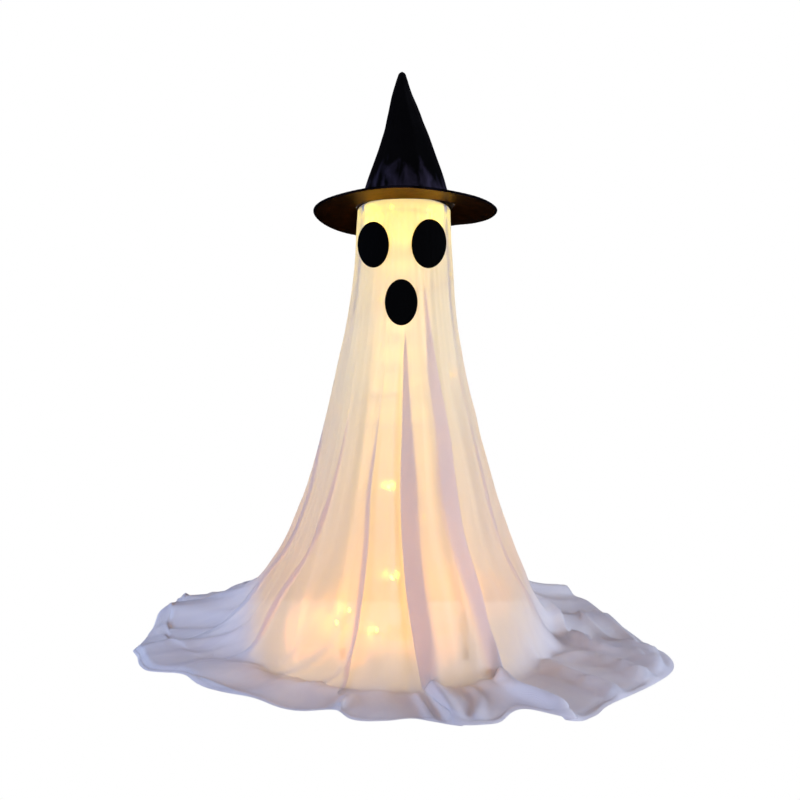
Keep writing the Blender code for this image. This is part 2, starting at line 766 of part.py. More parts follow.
def make_brim(hat):
    """The flat brim round the cone's foot, raised at the back right, and the wire along its edge."""
    edge = BRIM_RADIUS - 2 * BRIM_WIRE_RADIUS - GAP
    inner = cone_base_radius() + GAP
    azimuths = [360.0 * k / HAT_SIDES for k in range(HAT_SIDES)]
    grids = []
    for height in (BRIM_THICKNESS, 0.0):
        rows = []
        for share in BRIM_ROW_SHARES:
            radius = inner + (edge - inner) * share
            rows.append([around(a, radius, height + brim_lift(a, share)) for a in azimuths])
        grids.append(rows)
    add_object("hat_brim", grid_solid("hat_brim", *grids, closed_top=False), hat, "satin")
    heights = [BRIM_THICKNESS / 2 + brim_lift(a, 1.0) for a in azimuths]
    mesh = ring_mesh("brim_wire", BRIM_RADIUS - BRIM_WIRE_RADIUS, BRIM_WIRE_RADIUS, HAT_SIDES, WIRE_SIDES, heights)
    add_object("brim_wire", mesh, hat, "hat_wire")


# String of lights
def smooth_route(points, steps):
    """Points along a smooth curve through the given ones, this many to each stretch."""
    points = [Vector(p) for p in points]
    ends = [2 * points[0] - points[1], *points, 2 * points[-1] - points[-2]]
    made = []
    for before, start, end, after in zip(ends, ends[1:], ends[2:], ends[3:]):
        for step in range(steps):
            t = step / steps
            pull = 2 * start + (end - before) * t
            bend = (2 * before - 5 * start + 4 * end - after) * t**2
            turn = (3 * start - before - 3 * end + after) * t**3
            made.append((pull + bend + turn) / 2)
    made.append(points[-1])
    return made


def winding_height(azimuth):
    """Height of the wound string at an azimuth counted on through its turns."""
    route = np.array(STRING_ROUTE_SHARES)[::-1]
    slopes = np.gradient(route[:, 1], route[:, 0])
    at = int(np.clip(np.searchsorted(route[:, 0], azimuth) - 1, 0, len(route) - 2))
    width = route[at + 1, 0] - route[at, 0]
    share = (azimuth - route[at, 0]) / width
    left = route[at, 1] * (1 + 2 * share) * (1 - share) ** 2 + slopes[at] * width * share * (1 - share) ** 2
    right = route[at + 1, 1] * (3 - 2 * share) * share**2 - slopes[at + 1] * width * (1 - share) * share**2
    return BASE_CLIP_TOP + (STAND_HEIGHT - BASE_CLIP_TOP) * (left + right)


def winding_points():
    """The wound part of the string, just outside the legs, from the back of the head down to the floor."""
    first, last = STRING_ROUTE_SHARES[0][0], STRING_ROUTE_SHARES[-1][0]
    step = 360.0 / LOOP_POINTS
    azimuths = [first - step * k for k in range(int((first - last) / step) + 1)]
    azimuths.append(last)
    points = []
    for azimuth in azimuths:
        height = winding_height(azimuth)
        points.append(around(azimuth, leg_radius_at(height) + STRING_STANDOFF, height))
    return azimuths, points


def riser_points():
    """The string from the battery box along the floor, up beside the back leg and round into its first turn."""
    back = LEG_AZIMUTHS["back"]

    def beside_leg(height):
        return leg_point(back, height) + Vector((RISER_OFFSET, 0, 0))

    exit_y = BOX_DISTANCE + BOX_WIDTH / 2 + GAP
    straight = 2 * STRING_RADIUS
    start = Vector((RISER_OFFSET, exit_y, CORD_EXIT_HEIGHT))
    route = [start, start + Vector((0, straight, 0)), start + Vector((0, 2 * straight, 0))]
    route.append(beside_leg(CORD_EXIT_HEIGHT + CORD_BEND) - Vector((0, STRING_RADIUS, 0)))
    rise = [CORD_EXIT_HEIGHT + 2 * CORD_BEND]
    rise += [STAND_HEIGHT * k / 8 for k in range(1, 8)]
    route += [beside_leg(height) for height in rise]
    route.append(beside_leg(STAND_HEIGHT - 5 * CORD_BEND))
    return smooth_route(route, 3)


def make_string(axis):
    """The whole string as one tube. Prints its length and its least gap to itself."""
    riser = riser_points()
    azimuths, winding = winding_points()
    bend = smooth_route([riser[-2], riser[-1], winding[0], winding[1]], 3)[4:6]
    points = riser + bend + winding
    curve = bpy.data.curves.new("light_string", "CURVE")
    curve.dimensions = "3D"
    curve.bevel_depth = STRING_RADIUS
    curve.bevel_resolution = 1
    curve.use_fill_caps = True
    spline = curve.splines.new("POLY")
    spline.points.add(len(points) - 1)
    for place, point in zip(spline.points, points):
        place.co = (*point, 1.0)
    add_object("light_string", curve, axis, "string")
    length = sum((b - a).length for a, b in zip(points, points[1:]))
    print(f"light_string: {length:.3f} m long, least gap to itself {least_gap(points) * 1000:.2f} mm")
    return azimuths, winding


def least_gap(points):
    """The least distance between the tube's stretches that aren't neighbours, less its diameter."""
    fine = []
    for a, b in zip(points, points[1:]):
        fine += [a.lerp(b, k / STRING_CHECK_STEPS) for k in range(STRING_CHECK_STEPS)]
    fine = np.array(fine)
    travelled = np.concatenate([[0.0], np.cumsum(np.linalg.norm(np.diff(fine, axis=0), axis=1))])
    apart = np.inf
    for k, point in enumerate(fine):
        others = travelled > travelled[k] + math.pi * LEG_TOP_RADIUS / 2
        if others.any():
            apart = min(apart, float(np.linalg.norm(fine[others] - point, axis=1).min()))
    return apart - 2 * STRING_RADIUS


def make_bulbs(azimuths, winding, axis):
    """A resin bead on the string's upper side at each place."""
    straight = BULB_LENGTH - 2 * BULB_RADIUS
    half = BULB_RADIUS * math.sqrt(0.5)
    profile = (
        (0, -BULB_RADIUS),
        (half, -half),
        (BULB_RADIUS, 0),
        (BULB_RADIUS, straight),
        (half, straight + half),
        (0, straight + BULB_RADIUS),
    )
    mesh = lathe("light_bulb", profile, BULB_SIDES)
    mesh.materials.append(material("bulb"))
    falling = -np.array(azimuths)
    for number, azimuth in enumerate(BULB_AZIMUTHS, start=1):
        at = min(int(np.searchsorted(falling, -azimuth, side="right")) - 1, len(winding) - 2)
        a, b = winding[at], winding[at + 1]
        place = a.lerp(b, (azimuths[at] - azimuth) / (azimuths[at] - azimuths[at + 1]))
        along = (b - a).normalized()
        up = (Vector((0, 0, 1)) - along * along.z).normalized()
        bulb = add_object(f"light_bulb_{number:02d}", mesh, axis)
        bulb.location = place + up * (STRING_RADIUS + GAP + BULB_RADIUS)
        bulb.rotation_mode = "QUATERNION"
        bulb.rotation_quaternion = up.to_track_quat("Z", "Y")


# Battery box
def make_battery_box(axis):
    """The box on the floor inside the stand, with its cells, contacts, sliding cover and switch."""
    station = add_empty("battery_station", axis, (0, BOX_DISTANCE, 0))
    left = -BOX_LENGTH / 2
    switch_start = left + BOX_WALL
    bay_start = switch_start + SWITCH_BAY_LENGTH + BOX_WALL
    bay_end = bay_start + BAY_LENGTH
    right = BOX_LENGTH / 2
    half_bay = BAY_WIDTH / 2
    slot_half = half_bay + RAIL_DEPTH
    over = CUT_OVERRUN
    box = add_object(
        "battery_box",
        box_mesh("battery_box", (left, -BOX_WIDTH / 2, 0), (right, BOX_WIDTH / 2, BOX_HEIGHT)),
        station,
        "casing",
    )
    switch_middle = switch_start + SWITCH_BAY_LENGTH / 2
    window = KNOB_WIDTH / 2 + GAP
    window_half = (KNOB_LENGTH + KNOB_TRAVEL) / 2 + GAP
    cavities = {
        "bay": ((bay_start, -half_bay, BOX_WALL), (bay_end, half_bay, BOX_HEIGHT + over)),
        "cover_slot": ((bay_start, -slot_half, BAY_TOP), (right + over, slot_half, SLOT_TOP)),
        "switch_bay": ((switch_start, -half_bay, BOX_WALL), (bay_start - BOX_WALL, half_bay, SLOT_TOP)),
        "switch_window": (
            (switch_middle - window, -window_half, BAY_TOP),
            (switch_middle + window, window_half, BOX_HEIGHT + over),
        ),
    }
    for name, (low, high) in cavities.items():
        cut(box, hide_cutter(add_object(name, box_mesh(name, low, high), station)))
    make_cells(bay_start, bay_end, station)
    make_cover(bay_start + GAP, right, slot_half - GAP, half_bay - GAP, station)
    make_knob(switch_middle, station)


def make_cells(bay_start, bay_end, station):
    """Three cells side by side between a flat contact strip and a strip with a spring for each."""
    half = BAY_WIDTH / 2 - GAP
    low, high = BOX_WALL + GAP, BAY_TOP - GAP
    start = bay_start + GAP
    mesh = box_mesh("contact_strip_flat", (start, -half, low), (start + CONTACT_THICKNESS, half, high))
    add_object("contact_strip_flat", mesh, station, "steel")
    end = bay_end - GAP
    mesh = box_mesh("contact_strip_sprung", (end - CONTACT_THICKNESS, -half, low), (end, half, high))
    add_object("contact_strip_sprung", mesh, station, "steel")
    body = CELL_LENGTH - CELL_NUB_LENGTH
    cell_profile = (
        (0, 0),
        (CELL_NUB_RADIUS, 0),
        (CELL_NUB_RADIUS, CELL_NUB_LENGTH),
        (CELL_RADIUS, CELL_NUB_LENGTH),
        (CELL_RADIUS, CELL_NUB_LENGTH + body),
        (0, CELL_NUB_LENGTH + body),
    )
    spring_profile = ((0, 0), (SPRING_TIP_RADIUS, 0), (SPRING_RADIUS, SPRING_LENGTH), (0, SPRING_LENGTH))
    cell_mesh = lathe("battery_cell", cell_profile, CELL_SIDES)
    cell_mesh.materials.append(material("cell"))
    spring_mesh = lathe("contact_spring", spring_profile, CELL_SIDES)
    spring_mesh.materials.append(material("steel"))
    for k in range(CELL_COUNT):
        y = (k - (CELL_COUNT - 1) / 2) * CELL_PITCH
        z = BOX_WALL + CELL_PITCH / 2
        cell_start = start + CONTACT_THICKNESS + GAP
        spring_start = cell_start + CELL_LENGTH + GAP
        for name, mesh, x in (("battery_cell", cell_mesh, cell_start), ("contact_spring", spring_mesh, spring_start)):
            placed = add_object(f"{name}_{k + 1}", mesh, station, None, (x, y, z))
            placed.rotation_euler = (0, math.pi / 2, 0)


def make_cover(start, end, half, grip_half, station):
    """The sliding cover, with a raised grip at its outer end. Its origin is at its inner end."""
    length = end - start
    grip_from = length - 2 * COVER_GRIP_WIDTH - BOX_WALL
    thickness = COVER_THICKNESS
    outline = (
        (0, 0),
        (length, 0),
        (length, thickness),
        (grip_from + COVER_GRIP_WIDTH, thickness),
        (grip_from + COVER_GRIP_WIDTH, thickness + COVER_GRIP_HEIGHT),
        (grip_from, thickness + COVER_GRIP_HEIGHT),
        (grip_from, thickness),
        (0, thickness),
    )
    plate = box_mesh("battery_cover", (0, -half, 0), (length, half, thickness))
    grip = extruded("cover_grip", outline, grip_half)
    cover = add_object("battery_cover", plate, station, "casing", (start, 0, BAY_TOP + GAP))
    tool = hide_cutter(add_object("cover_grip", grip, cover))
    joined = cover.modifiers.new("grip", "BOOLEAN")
    joined.operation = "UNION"
    joined.object = tool


def make_knob(middle, station):
    """The switch knob, wide below the box's top and narrow through its window."""
    base, stem = KNOB_BASE_WIDTH / 2, KNOB_WIDTH / 2
    shoulder = SLOT_TOP - GAP
    top = BOX_HEIGHT + KNOB_RISE
    outline = (
        (-base, shoulder - KNOB_BASE_HEIGHT),
        (base, shoulder - KNOB_BASE_HEIGHT),
        (base, shoulder),
        (stem, shoulder),
        (stem, top),
        (-stem, top),
        (-stem, shoulder),
        (-base, shoulder),
    )
    mesh = extruded("switch_knob", outline, KNOB_LENGTH / 2)
    add_object("switch_knob", mesh, station, "knob", (middle, -KNOB_TRAVEL / 2, 0))


def extruded(name, outline, half):
    """An outline in X and Z, extruded to both sides along Y."""
    shape = bmesh.new()
    face = shape.faces.new([shape.verts.new((x, -half, z)) for x, z in outline])
    made = bmesh.ops.extrude_face_region(shape, geom=[face])
    moved = [item for item in made["geom"] if isinstance(item, bmesh.types.BMVert)]
    bmesh.ops.translate(shape, verts=moved, vec=(0, 2 * half, 0))
    return finish_mesh(name, shape, 30.0)


def main():
    """Builds the figure with the middle of its footprint at the origin."""
    for old in list(bpy.data.objects):
        bpy.data.objects.remove(old)
    axis = add_empty("stand_axis", None, (0, 0, 0))
    _, surface, footprint_middle = make_cloth(axis)
    axis.location = -footprint_middle
    print(f"stand axis at x {axis.location.x:.4f}, y {axis.location.y:.4f} m")
    make_face(surface, axis)
    hat = add_empty("hat_axis", axis, (0, 0, HAT_BASE_HEIGHT))
    make_cone(hat)
    make_brim(hat)
    make_stand(axis)
    azimuths, winding = make_string(axis)
    make_bulbs(azimuths, winding, axis)
    make_battery_box(axis)


main()
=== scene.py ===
"""Looks of the light-up fabric ghost: its cloth, felt face, satin hat, wire stand and warm string of lights.

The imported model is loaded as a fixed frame. The cloth, the felt ovals and the hat are made here as surfaces
on grids and stand for their plain solids. Every other piece keeps its solid and gets its finish here.

Metres, +Z up. An azimuth is in degrees from the front (-Y) towards the right (+X) round the stand's axis.
"""

import json
import logging
import math
from dataclasses import dataclass, field
from enum import Enum

import bmesh
import bpy
import numpy as np
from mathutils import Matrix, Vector


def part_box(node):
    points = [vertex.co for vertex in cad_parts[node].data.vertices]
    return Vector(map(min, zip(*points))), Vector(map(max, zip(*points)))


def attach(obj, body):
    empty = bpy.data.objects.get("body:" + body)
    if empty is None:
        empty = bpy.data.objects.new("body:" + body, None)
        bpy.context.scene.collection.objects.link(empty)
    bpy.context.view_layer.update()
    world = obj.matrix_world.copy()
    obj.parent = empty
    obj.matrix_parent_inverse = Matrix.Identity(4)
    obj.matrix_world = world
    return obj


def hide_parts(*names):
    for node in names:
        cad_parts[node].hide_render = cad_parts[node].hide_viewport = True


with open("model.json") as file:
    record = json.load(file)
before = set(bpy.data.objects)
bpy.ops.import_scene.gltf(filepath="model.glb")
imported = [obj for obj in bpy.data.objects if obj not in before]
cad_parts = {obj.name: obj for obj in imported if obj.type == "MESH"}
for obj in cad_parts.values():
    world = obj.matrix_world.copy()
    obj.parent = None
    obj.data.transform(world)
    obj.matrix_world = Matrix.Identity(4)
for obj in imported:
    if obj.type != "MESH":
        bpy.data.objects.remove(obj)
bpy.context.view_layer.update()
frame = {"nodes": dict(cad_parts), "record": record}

LOG = logging.getLogger("ghost")
Array = np.ndarray
Table = tuple[tuple[float, ...], ...]
Tree = bpy.types.NodeTree
Socket = bpy.types.NodeSocket
Place = tuple[float, float, float]


class Side(Enum):
    """The side on which a pleat's upper layer ends in a folded edge."""

    LEFT = -1.0
    RIGHT = 1.0


class Skin(Enum):
    """Which skin of a hollow piece a grid makes."""

    OUTER = 1
    INNER = 2


class Glow(Enum):
    """Where a bead points, with the name of its resin and how strongly it shines."""

    FORWARD = ("lit_clear_resin", 32.0)
    UNDER_HAT = ("lit_resin_under_the_hat", 5.0)
    AWAY = ("resin_lit_from_behind", 2.0)


# Curves
def hermite(knots: Array, values: Array, places: Array) -> Array:
    """Smooth curve through points, level past its ends.

    Formula: between two knots, the cubic with their values and with slopes from their neighbours.

    Args:
        knots: Rising places of the points.
        values: Value at each point.
        places: Where the curve is read.

    Returns:
        The curve's value at each place.
    """
    slopes = np.gradient(values, knots)
    x = np.clip(places, knots[0], knots[-1])
    at = np.clip(np.searchsorted(knots, x, side="right") - 1, 0, len(knots) - 2)
    width = knots[at + 1] - knots[at]
    t = (x - knots[at]) / width
    start = values[at] * (1 + 2 * t) * (1 - t) ** 2 + slopes[at] * width * t * (1 - t) ** 2
    end = values[at + 1] * (3 - 2 * t) * t**2 - slopes[at + 1] * width * (1 - t) * t**2
    return start + end


def along(table: Table, places: Array, column: int = 1) -> Array:
    """Reads one column of a table of points as a smooth curve of its first column.

    Args:
        table: Rows of numbers.
        places: Values of the first column at which the curve is read.
        column: The column that is read.

    Returns:
        The column's value at each place.
    """
    rows = np.array(sorted(table))
    return hermite(rows[:, 0], rows[:, column], places)


def round_about(table: Table, azimuth: Array) -> Array:
    """Reads a table of (azimuth, value) as a smooth closed curve.

    Args:
        table: Rows of an azimuth and a value.
        azimuth: Where the curve is read.

    Returns:
        The value at each azimuth.
    """
    rows = np.array(sorted(table))
    knots = np.concatenate([rows[:, 0] - 360, rows[:, 0], rows[:, 0] + 360])
    return hermite(knots, np.tile(rows[:, 1], 3), (azimuth + 180) % 360 - 180)


def ease(low: float, high: float, places: Array) -> Array:
    """Rises smoothly from 0 at low to 1 at high."""
    t = np.clip((places - low) / (high - low), 0, 1)
    return t * t * (3 - 2 * t)


def bell(places: Array, width: Array | float) -> Array:
    """A bell curve of height 1 for places from its middle."""
    return np.exp(-((places / width) ** 2))


def soft_ridge(places: Array) -> Array:
    """A ridge with a rounded top of height 1 and sides that grow flatter outwards."""
    top, fall, rounding = 0.55, 1.5, 0.135
    return np.exp(top - fall * np.sqrt(places**2 + rounding))


def full_turn(count: int) -> Array:
    """Azimuths at even steps, from the back round to the back."""
    return np.arange(count) * 360 / count - 180


def smooth_line(points: Array, count: int) -> Array:
    """A smooth line through points.

    Args:
        points: One row for each point.
        count: How many points the line has.

    Returns:
        One row for each point of the line.
    """
    knots = np.arange(len(points), dtype=float)
    places = np.linspace(0, len(points) - 1, count)
    return np.stack([hermite(knots, points[:, k], places) for k in range(points.shape[1])], axis=1)


def turn_between(azimuth: Array, other: Array) -> Array:
    """The turn from one azimuth to another, from -180 to 180."""
    return (azimuth - other + 180) % 360 - 180


def waves(azimuth: Array, seed: int, cycles: range, share: Array | float = 0.0) -> Array:
    """Irregular ripple round the figure.

    Formula: the sum of cosines of whole numbers of cycles, each with its own seeded strength and start, and a
    start that drifts with the share, divided by the root of their count.

    Args:
        azimuth: Where the ripple is read.
        seed: Seed of the strengths and starts.
        cycles: The numbers of cycles in one turn.
        share: Drift of the starts, such as the share of the way down.

    Returns:
        The ripple, mostly within -1 and 1.
    """
    chance = np.random.default_rng(seed)
    total = np.zeros_like(azimuth)
    for count in cycles:
        strength, start = chance.uniform(0.5, 1.0), chance.uniform(0, 2 * np.pi)
        drift = chance.uniform(-2.5, 2.5)
        total = total + strength * np.cos(count * np.radians(azimuth) + start + drift * share)
    return total / math.sqrt(len(cycles))


# Meshes
def grid_faces(rows: int, columns: int, first: int = 0) -> Array:
    """Four-sided faces of a grid of points in row order, whose last column meets the first.

    Args:
        rows: Number of rows of points.
        columns: Points in each row.
        first: Index of the grid's first point.

    Returns:
        One row of four point indices for each face.
    """
    column = np.arange(columns)
    row = np.arange(rows - 1)[:, None] * columns + first
    following = (column + 1) % columns
    below = row + columns
    corners = [row + column, below + column, below + following, row + following]
    return np.stack(corners, axis=-1).reshape(-1, 4)


def band(one: int, other: int, count: int) -> Array:
    """Four-sided faces between two rings of points.

    Args:
        one: Index of a ring's first point.
        other: Index of the other ring's first point.
        count: Points in each ring.

    Returns:
        One row of four point indices for each face.
    """
    ring = np.arange(count)
    following = np.roll(ring, -1)
    return np.stack([one + ring, one + following, other + following, other + ring], axis=1)


def fan(tip: int, first: int, count: int) -> Array:
    """Three-sided faces between one point and a ring of points.

    Args:
        tip: Index of the one point.
        first: Index of the ring's first point.
        count: Points in the ring.

    Returns:
        One row of three point indices for each face.
    """
    ring = np.arange(count)
    return np.stack([np.full(count, tip), first + ring, first + np.roll(ring, -1)], axis=1)


def new_mesh(
    name: str,
    points: Array,
    groups: list[Array],
    flow: Array | None = None,
    marks: dict[str, Array] | None = None,
) -> bpy.types.Object:
    """An object from whole arrays of points and faces.

    Args:
        name: Name of the object and its mesh.
        points: One row of X, Y and Z for each point.
        groups: Arrays of faces, each with its own number of corners.
        flow: Place of each point on the cut cloth in metres, which becomes the UV map.
        marks: Attributes of the points for the material, numbers or vectors, by name.

    Returns:
        The object, linked to the scene and shaded smooth.
    """
    mesh = bpy.data.meshes.new(name)
    corners = np.concatenate([group.reshape(-1) for group in groups]).astype(np.int32)
    sizes = np.concatenate([np.full(len(group), group.shape[1]) for group in groups]).astype(np.int32)
    starts = (np.cumsum(sizes) - sizes).astype(np.int32)
    mesh.vertices.add(len(points))
    mesh.vertices.foreach_set("co", np.ascontiguousarray(points, np.float32).reshape(-1))
    mesh.loops.add(len(corners))
    mesh.loops.foreach_set("vertex_index", corners)
    mesh.polygons.add(len(sizes))
    mesh.polygons.foreach_set("loop_start", starts)
    mesh.polygons.foreach_set("loop_total", sizes)
    mesh.polygons.foreach_set("use_smooth", np.ones(len(sizes), bool))
    mesh.update(calc_edges=True)
    if flow is not None:
        layer = mesh.uv_layers.new(name="cut")
        layer.data.foreach_set("uv", np.ascontiguousarray(flow[corners], np.float32).reshape(-1))
    for key, values in (marks or {}).items():
        kind, channel = ("FLOAT", "value") if values.ndim == 1 else ("FLOAT_VECTOR", "vector")
        data = np.ascontiguousarray(values, np.float32).reshape(-1)
        mesh.attributes.new(key, kind, "POINT").data.foreach_set(channel, data)
    obj = bpy.data.objects.new(name, mesh)
    bpy.context.scene.collection.objects.link(obj)
    return obj


def round_points(axis: Array, azimuth: Array, radius: Array, height: Array) -> Array:
    """Points at azimuths, radii and heights round an axis, as an array that ends in X, Y and Z."""
    turn = np.radians(azimuth)
    x, y = axis[0] + radius * np.sin(turn), axis[1] - radius * np.cos(turn)
    return np.stack([x, y, height + 0 * turn], axis=-1)


# Finishes
def linear(code: str) -> tuple[float, float, float, float]:
    """Linear colour from an sRGB hex value."""
    parts = [int(code[k : k + 2], 16) / 255 for k in (1, 3, 5)]
    r, g, b = (p / 12.92 if p <= 0.04045 else ((p + 0.055) / 1.055) ** 2.4 for p in parts)
    return (r, g, b, 1.0)


def add(tree: Tree, kind: str, inputs: dict | None = None, **settings: object) -> bpy.types.Node:
    """Adds a node with its settings, values and links.

    Args:
        tree: The material's node tree.
        kind: Type of the node, without its ShaderNode prefix.
        inputs: For each input's name or number, a value or the output socket that feeds it.
        settings: Properties of the node.

    Returns:
        The new node.
    """
    made = tree.nodes.new("ShaderNode" + kind)
    for key, value in settings.items():
        setattr(made, key, value)
    for key, value in (inputs or {}).items():
        if isinstance(value, Socket):
            tree.links.new(value, made.inputs[key])
        else:
            made.inputs[key].default_value = value
    return made


def blank(name: str) -> tuple[bpy.types.Material, Tree, bpy.types.Node]:
    """A new material, its empty tree and its output node."""
    material = bpy.data.materials.new(name)
    material.use_nodes = True
    tree = material.node_tree
    tree.nodes.clear()
    return material, tree, add(tree, "OutputMaterial")


def ramp(tree: Tree, factor: Socket, low: str, high: str, span: tuple[float, float]) -> Socket:
    """A colour between two hex values as a pattern goes over its span.

    Args:
        tree: The material's node tree.
        factor: The pattern.
        low: Colour where the pattern is at the start of its span.
        high: Colour where it is at the end.
        span: Start and end.

    Returns:
        The colour's socket.
    """
    made = add(tree, "ValToRGB", {0: factor})
    first, last = made.color_ramp.elements
    first.position, last.position = span
    first.color, last.color = linear(low), linear(high)
    return made.outputs[0]


def spread(tree: Tree, factor: Socket, low: float, high: float) -> Socket:
    """A pattern from 0 to 1 taken to a span of values."""
    return add(tree, "MapRange", {0: factor, 3: low, 4: high}).outputs[0]


def by_ray(tree: Tree, lit: Socket, mirrored: Socket, seen: Socket) -> Socket:
    """A shader of the surroundings for three kinds of rays.

    Args:
        tree: The node tree.
        lit: Shader that lights the figure.
        mirrored: Shader that glossy surfaces mirror.
        seen: Shader that the camera sees.

    Returns:
        The mixed shader's socket.
    """
    ray = add(tree, "LightPath")
    soft = add(tree, "MixShader", {0: ray.outputs["Is Glossy Ray"], 1: lit, 2: mirrored})
    return add(tree, "MixShader", {0: ray.outputs["Is Camera Ray"], 1: soft.outputs[0], 2: seen}).outputs[0]


@dataclass(frozen=True)
class SheerPolyester:
    """Thin woven polyester voile: light comes through it, and its threads give a faint crossed grain."""

    face: tuple[str, str] = ("#efeef2", "#fcfbfa")  # colour of the light that it scatters back
    through: tuple[str, str] = ("#fbf9f5", "#fffefa")  # of the light that it scatters through
    straight: str = "#ffceb0"  # and of the light that passes almost straight, which comes out warmer
    thread_mm: float = 1.6  # the real 0.25 mm is too fine to show
    passes: float = 0.53  # share of the light that one layer scatters through
    sheer: float = 0.30  # share that passes it almost straight
    layered: float = 0.25  # share of the passing light that is left where the cloth lies in layers

    def build(self) -> bpy.types.Material:
        """Mixes scattered, passing and almost straight light by the weave, the creases and the layers."""
        material, tree, out = blank("sheer_woven_polyester")
        place = add(tree, "TexCoord").outputs["UV"]
        scale = 2 * math.pi / (self.thread_mm / 1000) / 20
        threads = {0: place, "Scale": scale, "Distortion": 0.6, "Detail": 1.0}
        warp = add(tree, "TexWave", threads, bands_direction="X").outputs["Fac"]
        weft = add(tree, "TexWave", threads, bands_direction="Y").outputs["Fac"]
        weave = add(tree, "Math", {0: warp, 1: weft}, operation="ADD").outputs[0]
        fall = add(tree, "Attribute", attribute_name="fall").outputs["Vector"]
        clouded = {"Vector": fall, "Scale": 34.0, "Detail": 3.0, "Roughness": 0.6}
        cloud = add(tree, "TexNoise", clouded).outputs["Fac"]
        creased = {"Vector": fall, "Scale": 62.0, "Detail": 3.0, "Distortion": 0.35}
        creases = add(tree, "TexNoise", creased).outputs["Fac"]
        height = add(tree, "Math", {0: weave, 1: 0.12, 2: creases}, operation="MULTIPLY_ADD").outputs[0]
        layers = add(tree, "Attribute", attribute_name="layers").outputs["Fac"]
        strength = spread(tree, layers, 0.38, 0.62)
        bump = add(tree, "Bump", {"Strength": strength, "Distance": 0.002, "Height": height}).outputs[0]
        surface = add(
            tree,
            "BsdfPrincipled",
            {
                "Base Color": ramp(tree, cloud, *self.face, (0.35, 0.65)),
                "Roughness": spread(tree, weave, 0.72, 0.9),
                "Normal": bump,
                "Sheen Weight": 0.25,
                "Sheen Roughness": 0.4,
                "Specular IOR Level": 0.25,
            },
        )
        back = ramp(tree, cloud, *self.through, (0.35, 0.65))
        glow = add(tree, "BsdfTranslucent", {"Color": back, "Normal": bump})
        passes = spread(tree, layers, self.passes, self.passes * self.layered)
        gathered = spread(tree, cloud, self.sheer * 0.55, self.sheer * 1.45)
        thinned = spread(tree, layers, 1.0, self.layered**2)
        sheer = add(tree, "Math", {0: gathered, 1: thinned}, operation="MULTIPLY").outputs[0]
        soft = add(tree, "MixShader", {0: passes, 1: surface.outputs[0], 2: glow.outputs[0]})
        bent = {"Color": linear(self.straight), "Roughness": 0.54, "IOR": 1.45}
        straight = add(tree, "BsdfRefraction", bent)
        gaps = add(tree, "BsdfTransparent", {"Color": (1, 1, 1, 1)})
        veil = add(tree, "MixShader", {0: 0.28, 1: straight.outputs[0], 2: gaps.outputs[0]})
        whole = add(tree, "MixShader", {0: sheer, 1: soft.outputs[0], 2: veil.outputs[0]})
        tree.links.new(whole.outputs[0], out.inputs["Surface"])
        return material


@dataclass(frozen=True)
class PressedFelt:
    """Pressed wool felt: deep matte black with a short fibre nap, and no highlight."""

    colours: tuple[str, str] = ("#020202", "#0a0a0b")
    fibre_mm: float = 0.9  # real fibres are finer

    def build(self) -> bpy.types.Material:
        """Short streaks of fibre in the colour, the roughness and the bump."""
        material, tree, out = blank("pressed_wool_felt")
        place = add(tree, "TexCoord").outputs["Object"]
        streaks = {"Vector": place, "Scale": 1000 / self.fibre_mm, "Detail": 4.0, "Distortion": 2.0}
        fibre = add(tree, "TexNoise", streaks).outputs["Fac"]
        bump = add(tree, "Bump", {"Strength": 0.35, "Distance": 0.0004, "Height": fibre}).outputs[0]
        colour = ramp(tree, fibre, *self.colours, (0.4, 0.75))
        look = {"Base Color": colour, "Roughness": spread(tree, fibre, 0.92, 1.0), "Normal": bump}
        surface = add(tree, "BsdfPrincipled", {**look, "Specular IOR Level": 0.05})
        tree.links.new(surface.outputs[0], out.inputs["Surface"])
        return material


